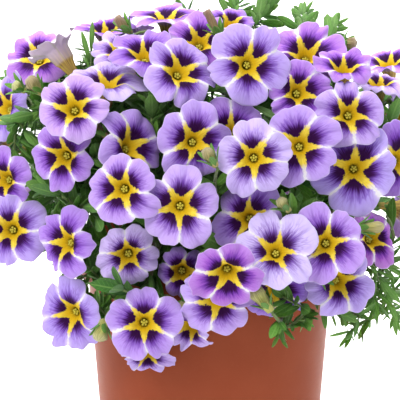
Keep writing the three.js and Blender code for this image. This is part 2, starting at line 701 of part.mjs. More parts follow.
// The blooms of the photograph, each slid along its line of sight until it is clear of those behind it.
function placeBlooms() {
  return BLOOMS.map((row) => {
    const [name, x, y, armX, armY, across, turn, tilt, lift, cup, tone] = row;
    const normal = facing(turn, tilt);
    const angle = armAngle(normal, armX - x, y - armY);
    const [u, v] = acrossNormal(normal, UP);
    const armX3 = u.clone().multiplyScalar(Math.cos(angle)).addScaledVector(v, Math.sin(angle));
    const armY3 = new THREE.Vector3().crossVectors(normal, armX3);
    const fine = across > PLAIN_BELOW;
    const grown = bloomGeometry(across, cup, fine, CLEARANCE);
    let depth = canopyDepth(x, y) + lift;
    for (let k = 0; k < SLIDE_TRIES; k++) {
      if (isClear(posed(grown, pointAt(x, y, depth), armX3, armY3, normal), [])) break;
      depth += SLIDE_STEP;
    }
    const origin = pointAt(x, y, depth);
    const solid = posed(bloomGeometry(across, cup, fine), origin, armX3, armY3, normal);
    faces.push({ origin, normal, radius: across / 2 });
    return { name: `bloom_${name}`, solid: stand(`bloom_${name}`, solid), origin, normal, tone };
  });
}

// Points spread evenly over the canopy's far side, and the way each faces.
function farPlaces(count, turned, scale) {
  const middle = pointAt(CANOPY_PIXEL_X, CANOPY_PIXEL_Y, 0);
  const places = [];
  for (let i = 0; i < count; i++) {
    const z = 1 - (2 * i + 1) / count;
    const ring = Math.sqrt(1 - z * z);
    const angle = i * TURN_STEP + turned;
    const unit = new THREE.Vector3(ring * Math.cos(angle), ring * Math.sin(angle), z);
    const point = unit.clone().multiply(FAR_RADII).multiplyScalar(scale);
    const behind = point.dot(NEARER) < FAR_DEPTH + (z > CROWN_FROM ? CROWN_DEPTH : 0);
    point.add(middle);
    const beside = point.x < SEEN_LEFT || point.x > SEEN_RIGHT;
    if ((behind || beside) && point.z > FAR_LOWEST) {
      places.push({ point, normal: unit.divide(FAR_RADII).normalize() });
    }
  }
  return places;
}

// The blooms of the far side, grown onto their shoots where they stand clear.
function growFarBlooms() {
  const draw = seeded(FAR_SEED);
  for (const { point, normal } of farPlaces(FAR_BLOOMS, FAR_BLOOM_TURN, 1)) {
    const across = FAR_ACROSS + FAR_ACROSS_SPREAD * draw();
    const cup = FAR_CUP_SPREAD * draw();
    const spin = FAR_SPIN_SPREAD * draw();
    const [u, v] = acrossNormal(normal, UP);
    const armX = u.clone().multiplyScalar(Math.cos(spin)).addScaledVector(v, Math.sin(spin));
    const armY = new THREE.Vector3().crossVectors(normal, armX);
    const grown = bloomGeometry(across, cup, false, CLEARANCE);
    for (let k = 0; k < FAR_TRIES; k++) {
      const origin = point.clone().addScaledVector(normal, k * FAR_STEP);
      const end = origin.clone().addScaledVector(normal, -TUBE_LENGTH + FAR_OVERLAP);
      const shoot = shootAt(end);
      if (!isClear(posed(grown, origin, armX, armY, normal), [])) continue;
      const stalk = findStalk(shoot, end, normal, STALK_RADIUS, []);
      if (!stalk) continue;
      addStalk(shoot, stalk);
      const bloom = posed(bloomGeometry(across, cup, false), origin, armX, armY, normal);
      shoot.parts.push(stand(shoot.name, bloom));
      break;
    }
  }
}

// The buds and spent tubes, each slid nearer until clear, on a stalk of its own.
function growBuds() {
  for (const [footX, footY, tipX, tipY, thickness, lift] of BUDS) {
    for (let k = 0; k < BUD_TRIES; k++) {
      const depth = canopyDepth(footX, footY) + lift + k;
      const foot = pointAt(footX, footY, depth - BUD_TILT);
      const tip = pointAt(tipX, tipY, depth + BUD_TILT);
      const path = BUD_TIMES.map((t) => foot.clone().lerp(tip, t));
      const radii = BUD_SHARES.map((share) => share * thickness);
      const thick = radii.map((r) => r + CLEARANCE);
      if (!isClear(solidOf(rod(path, thick, BUD_SIDES)), [])) continue;
      const direction = tip.clone().sub(foot).normalize();
      const shoot = shootAt(foot);
      const end = foot.clone().addScaledVector(direction, BUD_OVERLAP);
      const stalk = findStalk(shoot, end, direction, STALK_RADIUS, []);
      if (!stalk) continue;
      addStalk(shoot, stalk);
      shoot.parts.push(stand(shoot.name, solidOf(rod(path, radii, BUD_SIDES))));
      break;
    }
  }
}

// One leafy twig: a stalk that runs on through its leafy stretch, with whorls of leaves, each leaf left
// out where it would touch another piece.
function growTwig(foot, tip, length, width, draw) {
  const direction = tip.clone().sub(foot).normalize();
  const shoot = shootAt(foot);
  const reach = foot.distanceTo(tip);
  const tail = WHORLS.flatMap((share) => [share * reach, share * reach + LEAF_THICKNESS])
    .map((along) => foot.clone().addScaledVector(direction, along));
  const tailRadii = tail.map(() => TWIG_RADIUS);
  const stalk = findStalk(shoot, foot, direction, TWIG_RADIUS, [],
    [...tail, tip], [...tailRadii, TWIG_TIP_RADIUS]);
  if (!stalk) return false;
  const rings = rodRings(stalk.path, stalk.radii, STALK_SIDES);
  const leaves = [];
  WHORLS.forEach((share, whorl) => {
    const ring = stalk.path.length - 1 - 2 * (WHORLS.length - whorl);
    for (let side = 0; side < STALK_SIDES; side++) {
      const next = (side + 1) % STALK_SIDES;
      const corners = [rings[ring][side], rings[ring][next], rings[ring + 1][next], rings[ring + 1][side]];
      const root = corners.reduce((sum, corner) => sum.add(corner), new THREE.Vector3()).multiplyScalar(0.25);
      const across = corners[1].clone().sub(corners[0]).normalize();
      const out = new THREE.Vector3().crossVectors(across, direction).normalize();
      const lean = LEAF_LEAN + share * LEAF_LEAN_GAIN + LEAF_LEAN_SPREAD * draw();
      const way = out.multiplyScalar(Math.cos(lean)).addScaledVector(direction, Math.sin(lean));
      const size = length * (LEAF_SIZE_LEAST + LEAF_SIZE_SPREAD * draw()) * (1.1 - 0.4 * share);
      const breadth = width * (1.1 - 0.3 * share);
      const points = leafPoints(root, way, across, size, breadth);
      const thick = leafPoints(root, way, across, size, breadth, CLEARANCE);
      const face = [[0, 1, 2], [0, 2, 3]];
      const alone = meshOf([...corners.map((corner) => corner.toArray()), ...thick],
        [...leafFaces([0, 1, 2, 3], [4, 5, 6, 7, 8]), ...face.map(([a, b, c]) => [a, c, b])]);
      const solid = solidOf(alone);
      if (!isClear(solid, [])) continue;
      stand(`${shoot.name}_leaf`, solid);
      leaves.push({ ring, side, points });
    }
  });
  addStalk(shoot, stalk, leaves);
  return true;
}

function growTwigs() {
  const draw = seeded(TWIG_SEED);
  for (const [tipX, tipY, footX, footY, lift, length, width] of TWIGS) {
    TWIG_SHIFTS.some((shift) => {
      const foot = pointAt(footX, footY, canopyDepth(footX, footY) + lift + shift - TWIG_SINK);
      const tip = pointAt(tipX, tipY, canopyDepth(tipX, tipY) + lift + shift);
      return growTwig(foot, tip, length, width, draw);
    });
  }
  for (const { point, normal } of farPlaces(FAR_TWIGS, FAR_TWIG_TURN, FAR_TWIG_SCALE)) {
    const foot = point.clone().addScaledVector(normal, -FAR_TWIG_LENGTH);
    growTwig(foot, point, FAR_LEAF_LENGTH, FAR_LEAF_WIDTH, draw);
  }
}

// The whole plant
const pot = stand('pot', potSolid());
const soil = stand('soil', soilSolid());
const blooms = placeBlooms();
for (let k = 0; k < SHOOTS; k++) shoots.push(growBranches(k));
for (const bloom of blooms) {
  const end = bloom.origin.clone().addScaledVector(bloom.normal, -TUBE_LENGTH - CLEARANCE);
  const shoot = shootAt(end);
  const stalk = findStalk(shoot, end, bloom.normal, CUP_RADIUS, [bloom.name]);
  if (stalk) addStalk(shoot, stalk);
}
growFarBlooms();
growBuds();
growTwigs();

// Colours
const POT_COLOUR = 0xa35438;
const SOIL_COLOUR = 0x2e2018;
const LEAF_COLOUR = 0x4f7a35;
const PALE_COLOUR = new THREE.Color(0xcdb6ee);
const VIOLET_COLOUR = new THREE.Color(0x9a5fd0);

const group = new THREE.Group();

function addPiece(name, solid, color, roughness) {
  const material = new THREE.MeshStandardMaterial({ color, roughness, metalness: 0 });
  const mesh = new THREE.Mesh(geometryOf(solid), material);
  mesh.name = name;
  group.add(mesh);
}

addPiece('pot', pot, POT_COLOUR, 0.45);
addPiece('soil', soil, SOIL_COLOUR, 0.95);
for (const { name, parts } of shoots) {
  addPiece(name, parts.reduce((whole, part) => whole.add(part)), LEAF_COLOUR, 0.7);
}
for (const { name, solid, tone } of blooms) {
  addPiece(name, solid, PALE_COLOUR.clone().lerp(VIOLET_COLOUR, tone), 0.6);
}

export default group;
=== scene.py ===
"""Potted calibrachoa: the looks of the plant and its pot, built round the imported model.

The rules that place shoots, blooms, buds and leaves are those of the part's source. What stands where
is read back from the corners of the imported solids. Lengths are in millimetres until a mesh is made.
"""

import math

import bpy
import numpy as np
from bpy.props import FloatProperty, FloatVectorProperty, IntProperty, PointerProperty
from bpy.types import Operator, Panel, PropertyGroup
from mathutils import Matrix, Vector


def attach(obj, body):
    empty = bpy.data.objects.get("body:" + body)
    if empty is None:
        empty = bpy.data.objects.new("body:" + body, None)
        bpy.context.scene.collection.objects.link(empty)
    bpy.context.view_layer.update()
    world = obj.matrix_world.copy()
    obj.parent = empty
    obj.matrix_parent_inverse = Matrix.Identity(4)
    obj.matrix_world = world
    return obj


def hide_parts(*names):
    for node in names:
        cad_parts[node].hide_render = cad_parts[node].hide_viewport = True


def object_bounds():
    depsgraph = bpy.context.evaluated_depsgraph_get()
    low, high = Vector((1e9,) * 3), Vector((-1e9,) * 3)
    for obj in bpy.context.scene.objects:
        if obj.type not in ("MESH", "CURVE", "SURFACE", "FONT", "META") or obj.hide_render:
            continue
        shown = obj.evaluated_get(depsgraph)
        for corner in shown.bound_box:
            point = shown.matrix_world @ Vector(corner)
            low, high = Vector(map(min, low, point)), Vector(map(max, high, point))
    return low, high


bl_info = {
    "name": "Potted calibrachoa",
    "version": (1, 0, 0),
    "blender": (4, 5, 0),
    "location": "3D View > Sidebar > Calibrachoa",
    "description": "Builds a potted calibrachoa in bloom around its packed model",
    "category": "Add Mesh",
}

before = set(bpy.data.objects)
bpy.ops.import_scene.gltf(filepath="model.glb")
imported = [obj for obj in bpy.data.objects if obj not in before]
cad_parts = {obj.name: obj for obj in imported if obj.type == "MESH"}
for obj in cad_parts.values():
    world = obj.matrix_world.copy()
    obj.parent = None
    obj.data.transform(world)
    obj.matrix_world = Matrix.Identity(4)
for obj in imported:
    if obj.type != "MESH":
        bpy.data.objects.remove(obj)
CAD_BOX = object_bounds()

MM = 0.001

# Pot, as in the part's source
POT_HEIGHT = 108.0
RIM_RADIUS = 60.0
COLLAR_FOOT_RADIUS = 57.3
COLLAR_HEIGHT = 11.0
BODY_TOP_RADIUS = 53.0
BASE_RADIUS = 46.0
WALL = 1.6
BASE_THICKNESS = 2.0
CHANNEL_RISE = 3.0
CHANNEL_INNER = 24.0
CHANNEL_OUTER = 40.0
CHANNEL_SLOPE = 2.0
DRAIN_HOLES = 6
DRAIN_RADIUS = 4.0
COLLAR_STEP = 2.0

# Soil, as in the part's source
CLEARANCE = 0.3
SOIL_EDGE_Z = 99.0
SOIL_MOUND = 4.0
STEM_RING = 15.0
STEM_RISE = 1.0
HOLE_DEPTH = 12.0

# Shoots, as in the part's source
SHOOTS = 8
STEM_RADIUS = 1.1
STEM_TAPER = 0.08
STEM_SIDES = 4
SWINGS = (0, 0.08, -0.08, 0.16, -0.16, 0.24, -0.24)
STALK_RADIUS = 0.75
CUP_LENGTH = 2.4
STALK_LEADS = (7, 3)
STALK_BOWS = (0, 5, 10, 16, 24)
BOW_TURNS = tuple(k * math.pi / 3 for k in range(6))
STALK_SIDES = 3
LEAD_SHARE = 0.5
EARLY_SHARE = 0.4
TWIG_RADIUS = 0.9
TWIG_TIP_RADIUS = 0.4
RING_TWIST = 0.2
ANCHOR_STEP = 3.5
ANCHOR_TRIES = 9
ANCHOR_MARGIN = 0.4
CROTCH = (24, 8)
ELBOW = (44, 17)
ARM_END = (62, 27)
RISING = ((27, 30), (32, 52), (31, 72))
HANGING = ((57, 11), (65.5, -1), (64, -14), (62, -26))

# Blooms and buds, as in the part's source
TUBE_LENGTH = 13.0
MOUTH_RADIUS = 2.6
MOUTH_SINK = 1.2
THROAT_DEPTH = 8.0
MID_SHARE = 0.55
MID_RISE = 0.8
MID_CUP_SHARE = 0.45
ARMS = 5
BUD_TIP_SHARE = 0.12
BUD_TIP_CORNERS = 4
BUD_TILT = 2.0
BUD_OVERLAP = 1.0
BUD_TRIES = 30

# Leaves, as in the part's source
LEAF_THICKNESS = 0.7
LEAF_DROOP = 0.1
LEAF_LEAN = 0.35
LEAF_LEAN_GAIN = 0.6
LEAF_LEAN_SPREAD = 0.2
LEAF_SIZE_LEAST = 0.85
LEAF_SIZE_SPREAD = 0.3
LEAF_FULL = 1.1
LENGTH_LOSS = 0.4
WIDTH_LOSS = 0.3
WHORLS = (0.15, 0.5, 0.85)
TWIG_SHIFTS = (0, -6, 6, -12, 12)
TWIG_SINK = 8.0
TWIG_SEED = 22

# The photograph's frame and the canopy in it, as in the part's source
PIXEL = 0.435
CAMERA_DISTANCE = 900.0
CAMERA_DOWN = math.radians(13)
FRAME_MIDDLE = 200
AXIS_PIXEL = 210
RIM_PIXEL = 244
CANOPY_PIXEL_X = 205
CANOPY_PIXEL_Y = 190
CANOPY_HALF_WIDTH = 100.0
CANOPY_HALF_HEIGHT = 86.0
CANOPY_DEPTH = 88.0

# The far side, as in the part's source
FAR_RADII = np.array((95.0, 86.0, 78.0))
FAR_BLOOMS = 58
FAR_TWIGS = 22
FAR_TWIG_LENGTH = 14.0
FAR_LEAF_LENGTH = 13.0
FAR_LEAF_WIDTH = 5.0
TURN_STEP = 2.39996
FAR_LOWEST = 100.0
CROWN_FROM = 0.8
CROWN_DEPTH = 8.0
FAR_DEPTH = -6.0
SEEN_LEFT = -92.0
SEEN_RIGHT = 85.0
FAR_BLOOM_TURN = 0.4
FAR_TWIG_TURN = 1.9
FAR_TWIG_SCALE = 0.98
FAR_ACROSS = 29.0
FAR_ACROSS_SPREAD = 4.0
FAR_CUP_SPREAD = 2.0
FAR_SPIN_SPREAD = 1.2
FAR_OVERLAP = 1.2
FAR_TRIES = 16
FAR_SEED = 7

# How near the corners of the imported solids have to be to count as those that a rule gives
NEAR_ENOUGH = 0.2
RING_NEAR = 0.12
TUBE_END_NEAR = 0.05
BRANCH_NEAR = 1.5
STALK_NEAR = 0.15

# An axis that rings are carried from, as in the part's source, and steps that spread numbers evenly
FIRST_AXIS = np.array((0.31, 0.52, 0.79))
GOLDEN_SHARE = 0.618
GOLDEN_TURN = math.radians(137.5)

# Tones of the far side: where they start, how they step on, and how young its leaves are
FAR_TONE = 0.35
FAR_WARMTH = 0.2
FAR_WARMTH_STEP = 0.47
FAR_COLDEST = -0.4
FAR_YOUTH_LEAST = 0.2
FAR_YOUTH_SPREAD = 0.6

# Seeds of the looks' own draws, and the range of a wave's phase
BLOOM_SEED = 100
FAR_BLOOM_SEED = 200
SOIL_SEED = 3
EXTRA_SEED = 11
FOLIAGE_SEED = 5
PHASES = (0, 6.3)

# Petals: ranges that each bloom draws from, in millimetres or as shares of its radius, and its forms. A
# wobble of the outline is a share and how many times it goes round.
NOTCH_DEPTHS = (0.16, 0.32)
DENT_DEPTHS = (0.0, 0.08)
LOBE_GROWTHS = (-0.13, 0.05)
LOBE_TILTS = (-4.0, 2.6)
LOBE_LEANS = (-2.2, 2.2)
WAVE_HEIGHTS = (0.25, 0.7)
WAVE_COUNTS = (4, 7, 9, 13)
RIM_CURLS = (0.3, 1.9)
WOBBLES = ((0.018, 3), (0.011, 16), (0.007, 23))
FOLD_SHIFTS = (0.02, 0.1)
SWIRL = 0.1
SWIRL_SPREAD = 0.08
FUNNEL_DEPTH = 1.2
CHEEK_HEIGHT = 0.55
GROOVE_DEPTH = 0.35
RIDGE_HEIGHT = 0.5
PETAL_SHEET = 0.4
PETAL_EDGE = 0.14

# How wide the petals' forms are, in degrees from the middle of a lobe, or from its arm for a ridge, and
# the powers that shape them. A rim curls, and a back begins, at a share of the way out, and a rib of the
# tube is a share of its radius.
NOTCH_FROM = 6
NOTCH_SPAN = 30
NOTCH_POWER = 2.1
DENT_SPAN = 4.5
GROOVE_SPAN = 3.5
RIDGE_SPAN = 6
RIDGE_POWER = 0.7
CHEEK_POWER = 0.8
CURL_FROM = 0.7
CURL_GAIN = 8
BACK_FROM = 0.28
TUBE_RIB = 0.05

# The petals' map along, from 0 down in the throat: along the throat, at the mouth, at the rim, what it
# gains along the back, along the tube and at the tube's end
THROAT_MARKS = (0.16, 0.04)
MOUTH_MARK = 0.2
RIM_MARK = 1.0
BACK_GAIN = 0.5
TUBE_MARKS = (1.96, 1.42)
END_MARK = 2.0

# The outside of a bloom's tube and the inside of its throat: distances out, and heights from the mouth
TUBE_PROFILE = ((1.25, -13), (1.5, -11.6), (1.95, -9.2), (2.5, -6.8), (3.0, -4.8), (3.4, -3.3), (4.3, -1.9))
THROAT_PROFILE = ((2.1, -3.2), (1.7, -4.4), (1.25, -6.0), (0.7, -7.6))
ANTHER_RING = 0.95
ANTHER_RADIUS = 0.55
ANTHER_HEIGHT = -3.3
STIGMA_RADIUS = 0.5
STIGMA_HEIGHT = -2.7
BEAD_SIDES = 6

# Buds: rings and sides, and where the first and last rings lie as shares of the length. The radius is the
# tube's plus a belly and a head near the tip, as shares of the thickness. A spent one withers, narrows at
# its foot, crumples and sags. Twist and ridge give a fresh bud's number, then what a spent one has more.
BUD_STATIONS = 16
BUD_SIDES = 15
BUD_ENDS = (0.02, 0.98)
BUD_TUBE = 0.38
BUD_BELLY = 0.16
BUD_HEAD = 0.2
BUD_HEAD_PLACE = 0.78
BUD_HEAD_SPAN = 0.16
BUD_WITHERING = 0.85
BUD_FOOT_LOSS = 0.35
BUD_TWIST = (0.6, 0.8)
BUD_RIDGE = (0.09, 0.1)
BUD_CRUMPLE = 0.1
BUD_SAG = 0.05
BUD_TONE_SPREAD = 0.05

# Leaves, sepals and stems of the looks. A calyx has the length, width and youth of its sepals, and a stem
# its radius at the foot and at the tip, and how green it is.
LEAF_SECTION = ((1, 0), (0.88, 1), (0, 1), (-0.88, 1), (-1, 0), (-0.88, -1), (0, -1), (0.88, -1))
LEAF_ENDS = (0.04, 0.96)
LEAF_SKEW = 1.15
LEAF_FULLNESS = 0.55
LEAF_SHEET = 0.14
LEAF_SHEET_GAIN = 0.04
LEAF_SHEET_LOSS = 0.7
SEPAL_SINK = 0.8
SEPAL_RING = 0.5
SEPAL_SPREAD = 0.42
SEPAL_REACH = 0.9
SEPAL_STATIONS = 6
SEPAL_CURVE = -0.12
SEPAL_KEEL = 0.5
BLOOM_CALYX = (6.5, 1.9, 0.6)
BUD_CALYX = (9.5, 2.6, 0.8)
STEM_LOOKS = {
    "branch": (STEM_RADIUS, 0.85, 0.25),
    "stalk": (STALK_RADIUS, 0.6, 0.8),
    "twig": (STALK_RADIUS, 0.45, 0.8),
}
STEM_LOOK_SIDES = 8
STALK_STEPS = 12
BRANCH_STEPS = 6
SIDE_SHOOT_STEPS = 4
SIDE_SHOOT_BOW = 2
EXTRA_SPACING = 3.5
EXTRA_STATIONS = 6
EXTRA_CURVES = (-0.08, 0.22)
LEAF_TRIES = 3
BARE_STARTS = {"branch": 18, "stalk": 4, "twig": 4}
BARE_STALK_END = 6
TRY_TURN = 0.55 * math.pi
TURN_SPREAD = 0.4
EXTRA_LEANS = (0.25, 1.0)
EXTRA_SHARES = (0.4, 0.75)
EXTRA_LENGTHS = (10, 18)
EXTRA_BREADTHS = (0.26, 0.45)
EXTRA_YOUTH_LEAST = 0.1
EXTRA_YOUTH_GAIN = 0.5
EXTRA_YOUTHS = (-0.3, 0.45)
SHORT_BELOW = POT_HEIGHT + 4
SHORT_SHARE = 0.5
LEAF_WARMTHS = (-0.2, 0.4)
EXTRA_WARMTHS = (-0.2, 0.5)

# Pot and soil of the looks: the most of an edge that a rounded corner takes, the drain holes' cutter, the
# soil's waves as turns a millimetre and heights, how many ways each runs, and its rings and crumbs
EASE_MOST = 0.45
DRAIN_SIDES = 24
CUTTER_SPAN = (-5, 10)
SOIL_SIDES = 160
SOIL_WAVES = ((0.25, 0.5), (0.6, 0.35), (1.3, 0.22))
SOIL_WAYS = 4
SOIL_RINGS = 60
SOIL_MIDDLE = 0.02
SOIL_FADE = 12
SOIL_GRAIN = 0.22
CRUMB_RADII = (0.4, 1.1)
CRUMB_LIFT = 0.1
CRUMB_SHARES = (0.01, 0.96)

# Where an extra leaf may not go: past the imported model's box, near the pot or soil, from a bloom's tube
# and in front of its face, and over the part of a face that the photograph shows
BOX_MARGIN = 4
POT_MARGIN = 0.5
POT_ZONE = 52
SOIL_MARGIN = 1
FACE_MARGIN = 0.5
FACE_BACK = 2.2
FACE_AHEAD = 15
TUBE_MARGIN = 4.5
TUBE_FLARE = 0.25
TUBE_FROM = -15
TUBE_TO = -2
SHOWN_SLOPE = 0.3
SHOWN_SHARE = 0.93

# Blooms in the photograph, from the back to the front: name, the throat's pixel, the pixel where one
# yellow arm ends, the width across, how far it faces right and up in degrees, the rise of its rim, its
# tone from pale 0 to violet 1, or below 0 where it has faded, and its warmth from blue -1 to pink 1.
BLOOMS = (
    ("top_edge", 167, 18, 150, 21, 33, 0, 70, 1, 0.9, 0.2),
    ("top_peek", 230, 24, 221, 12, 24, 10, 50, 1, 0.8, 0.1),
    ("top_back", 199, 42, 190, 26, 31, 0, 35, 0, 0.85, 0.5),
    ("top_side", 106, 33, 118, 37, 28, -10, 64, 4, 1, 0.2),
    ("left_pale", 122, 52, 112, 46, 30, 0, 45, 0, 0.2, 0.1),
    ("top_dark", 145, 55, 140, 38, 31, 5, 50, 2, 0.9, 0),
    ("right_pale", 378, 84, 369, 80, 26, 0, 66, 1, 0.1, 0.2),
    ("right_rim_upper", 402, 114, 396, 106, 22, 40, 10, 0, 0.3, 0),
    ("right_rim", 399, 160, 388, 148, 33, 32, 0, 0, 1, 0),
    ("left_rim_upper", 4, 108, 14, 97, 33, -48, 12, 0, 0.5, -0.4),
    ("left_rim", 4, 180, 13, 163, 30, -36, 0, 0, 0.9, 0.1),
    ("centre_back", 230, 134, 232, 106, 33, 0, 8, 0, 0.8, 0.1),
    ("upper_right_back", 306, 55, 293, 30, 33, 5, 35, 1, 0.9, 0.5),
    ("right_cup", 344, 69, 344, 55, 27, 5, 55, 2, 0.9, 0.4),
    ("right_corner", 388, 63, 374, 59, 28, -20, 60, 1, 0.9, 0.2),
    ("right_inner_back", 299, 92, 314, 69, 30, 15, 10, 0, 0.9, 0.3),
    ("right_low", 373, 238, 385, 226, 27, 30, 14, 0, 0.95, 0.9),
    ("low_inner", 249, 218, 219, 212, 31, -8, 5, 0, 0.7, 0),
    # low_shaded's deepest violet tone is partly its own colour and partly painted shade, for the shade it
    # stands in behind the front blooms
    ("low_shaded", 276, 292, 277, 307, 30, 0, -35, 0, 1, -0.4),
    ("low_behind", 182, 272, 170, 266, 22, 0, -8, 0, 0.8, 0),
    ("left_low_back", 128, 255, 124, 231, 28, 0, -10, 0, 0.1, 0.1),
    ("left_upper", 107, 83, 132, 72, 34, 0, 60, 1, 0.1, 0),
    ("left_crown", 38, 57, 22, 33, 31, -8, 30, 0, 0.85, 0.6),
    ("left_funnel", 62, 57, 51, 66, 25, -96, 55, 8, -1, 0),
    ("upper_middle", 180, 72, 213, 57, 34, 22, 24, 1, 0.5, 0),
    ("right_upper", 350, 114, 361, 92, 30, 10, 10, 0, 0.45, 0.1),
    ("left_inner", 131, 147, 123, 115, 34, 44, 14, 1, 0.65, 0),
    ("right_big", 355, 168, 335, 193, 38, 5, 5, 0, 0.4, -0.5),
    ("left_low_side", 65, 243, 87, 225, 30, -42, 0, 0, 0.9, 0),
    ("centre_upper", 194, 142, 178, 115, 33, 12, 0, 0, 0.65, 0),
    ("right_inner", 299, 146, 315, 111, 35, -4, 5, 0, 0.65, 0),
    ("low_left_back", 190, 328, 182, 319, 22, -40, -38, 2, 0.3, 0),
    ("low_foot", 147, 354, 140, 362, 23, 0, -45, 2, 0.3, 0),
    ("low_middle", 217, 301, 246, 312, 33, 0, -20, 0, 0.55, 0),
    ("right_low_front", 339, 282, 372, 271, 33, 20, -10, 0, 0.4, -0.3),
    ("left_middle", 63, 157, 38, 142, 31, -25, -10, 0, 0.85, 0.1),
    ("left_front", 73, 108, 65, 80, 31, -10, 18, 0, 0.3, 0.4),
    ("right_middle", 327, 243, 331, 205, 33, 5, 5, 0, 0.7, 0.1),
    ("upper_big", 249, 64, 252, 30, 37, 15, 5, 0, 0.5, -0.2),
    ("centre_left", 122, 189, 127, 172, 31, -15, 0, 0, 0.6, 0.1),
    ("centre_right", 254, 158, 237, 139, 33, 0, 0, 0, 0.2, 0),
    ("low_folded", 227, 273, 246, 288, 30, 0, -28, 3, 1, 0.6),
    ("centre_front", 180, 206, 147, 213, 34, 0, 0, 0, 0.45, 0.1),
    ("left_outer", 11, 230, 20, 207, 32, -10, 0, 0, 0.5, -0.3),
    ("lower_left", 71, 314, 53, 282, 35, -35, -15, 0, 0.5, -0.4),
    ("lower_front", 144, 323, 129, 303, 33, 0, 0, 0, 0.7, 0),
    ("front_pale", 276, 251, 287, 213, 35, 0, 20, 0, 0, 0),
)

# Buds and spent tubes in the photograph: the pixels of the foot and of the tip, the thickness, how far
# they stand out, and how spent each is, from green 0 to brown 1.
BUDS = (
    (271, 311, 253, 287, 5, 16, 0.15),
    (105, 320, 98, 341, 5, 10, 0.2),
    (289, 211, 279, 199, 4, 2, 0.35),
    (216, 166, 205, 149, 4.5, 4, 0.55),
    (131, 33, 116, 17, 4.5, -14, 0.9),
    (222, 38, 206, 10, 4, -12, 0.95),
    (337, 47, 356, 41, 5, -6, 0.8),
    (107, 136, 89, 121, 5.5, -4, 0.9),
    (44, 94, 28, 78, 5.5, 2, 0.6),
    (25, 91, 13, 84, 3.6, 4, 0.1),
    (193, 311, 179, 305, 3.6, -8, 0.3),
    (315, 273, 331, 278, 3.6, 4, 0.9),
    (355, 228, 384, 226, 4, 4, 0.4),
)

# Leafy twigs in the photograph: the pixels of the tip and of the foot of the leafy stretch, how far it
# stands out, the leaves' length and width, and how young the green is.
TWIGS = (
    (92, 40, 90, 68, -4, 13, 2.4, 0.8),
    (104, 57, 84, 66, -4, 13, 6, 0.5),
    (237, 4, 232, 26, -16, 13, 3, 0.6),
    (268, 7, 256, 24, -14, 12, 4.5, 0.5),
    (304, 14, 301, 34, -14, 11, 4, 0.5),
    (334, 21, 329, 46, -10, 11, 4, 0.6),
    (11, 79, 27, 97, -2, 11, 4, 0.6),
    (17, 124, 40, 112, -4, 13, 5, 0.4),
    (150, 90, 152, 124, -6, 14, 5.5, 0.5),
    (192, 92, 172, 108, -8, 13, 5.5, 0.4),
    (91, 147, 104, 170, -6, 13, 5.5, 0.4),
    (74, 206, 86, 238, -6, 13, 5, 0.3),
    (84, 262, 112, 292, -2, 17, 7, 0.1),
    (62, 289, 88, 274, 0, 14, 4.5, 0.8),
    (98, 306, 122, 332, 0, 14, 5, 0.5),
    (217, 158, 224, 198, -4, 13, 5.5, 0.4),
    (394, 238, 378, 284, -2, 14, 2.6, 0.8),
    (396, 318, 374, 268, 0, 14, 2.6, 0.8),
    (346, 337, 394, 296, 4, 12, 3, 0.9),
    (306, 321, 300, 300, 6, 8, 3, 0.8),
    (283, 297, 304, 308, 6, 11, 4.5, 0.5),
    (340, 312, 318, 300, 2, 11, 4.5, 0.5),
    (392, 104, 386, 134, -6, 13, 5, 0.4),
    (120, 288, 140, 300, -6, 15, 6.5, 0.1),
)

# Side shoots that fill the gaps between the blooms: the pixel of the tip, how far it stands out, and the
# size of the leaves that its own leaves are a share of.
SIDE_SHOOTS = (
    (27, 136, -12, 20, 8),
    (14, 154, -12, 18, 7),
    (42, 188, -12, 20, 8),
    (60, 199, -12, 20, 8),
    (97, 218, -14, 20, 8),
    (214, 93, -16, 20, 8),
    (334, 85, -12, 18, 7),
    (297, 190, -14, 20, 8),
    (386, 104, -12, 18, 7),
    (213, 175, -16, 20, 8),
    (384, 262, -8, 20, 4),
    (376, 306, -6, 18, 4.5),
    (360, 318, -4, 16, 4.5),
    (91, 38, -4, 15, 2.6),
    (386, 216, -10, 20, 8),
    (390, 230, -8, 20, 5),
    (372, 298, -8, 18, 5),
    (391, 268, -6, 18, 4),
)


# Directions and places in the photograph

def unit(vector):
    """A vector divided by its length."""
    return vector / np.linalg.norm(vector)


def unit_rows(vectors):
    """Each row divided by its length."""
    return vectors / np.linalg.norm(vectors, axis=1, keepdims=True)


RIGHT = np.array((1.0, 0.0, 0.0))
UP = np.array((0.0, math.sin(CAMERA_DOWN), math.cos(CAMERA_DOWN)))
NEARER = np.array((0.0, -math.cos(CAMERA_DOWN), math.sin(CAMERA_DOWN)))
FRAME_CENTRE = (
    np.array((0.0, 0.0, POT_HEIGHT))
    + RIGHT * (FRAME_MIDDLE - AXIS_PIXEL) * PIXEL
    + UP * (RIM_PIXEL - FRAME_MIDDLE) * PIXEL
)


def point_at(x, y, depth):
    """The point that a pixel shows at a depth: the frame's centre, moved right and up by the pixel's
    distance at the scale of that depth, and nearer by the depth."""
    scale = PIXEL * (CAMERA_DISTANCE - depth) / CAMERA_DISTANCE
    right, up = (x - FRAME_MIDDLE) * scale, (FRAME_MIDDLE - y) * scale
    return FRAME_CENTRE + RIGHT * right + UP * up + NEARER * depth


def canopy_depth(x, y):
    """The depth of the canopy's front at a pixel: an ellipsoid's height over its outline."""
    across = (x - CANOPY_PIXEL_X) * PIXEL / CANOPY_HALF_WIDTH
    up = (CANOPY_PIXEL_Y - y) * PIXEL / CANOPY_HALF_HEIGHT
    return CANOPY_DEPTH * math.sqrt(max(0.0, 1 - across * across - up * up))


def facing(turn, tilt):
    """The direction turned right and up from straight at the camera, by two angles in degrees."""
    t, u = math.radians(turn), math.radians(tilt)
    return RIGHT * (math.sin(t) * math.cos(u)) + UP * math.sin(u) + NEARER * (math.cos(t) * math.cos(u))


def across_normal(normal):
    """Two unit vectors across a normal, the second as near to up as can be."""
    y = unit(UP - normal * (UP @ normal))
    return np.cross(y, normal), y


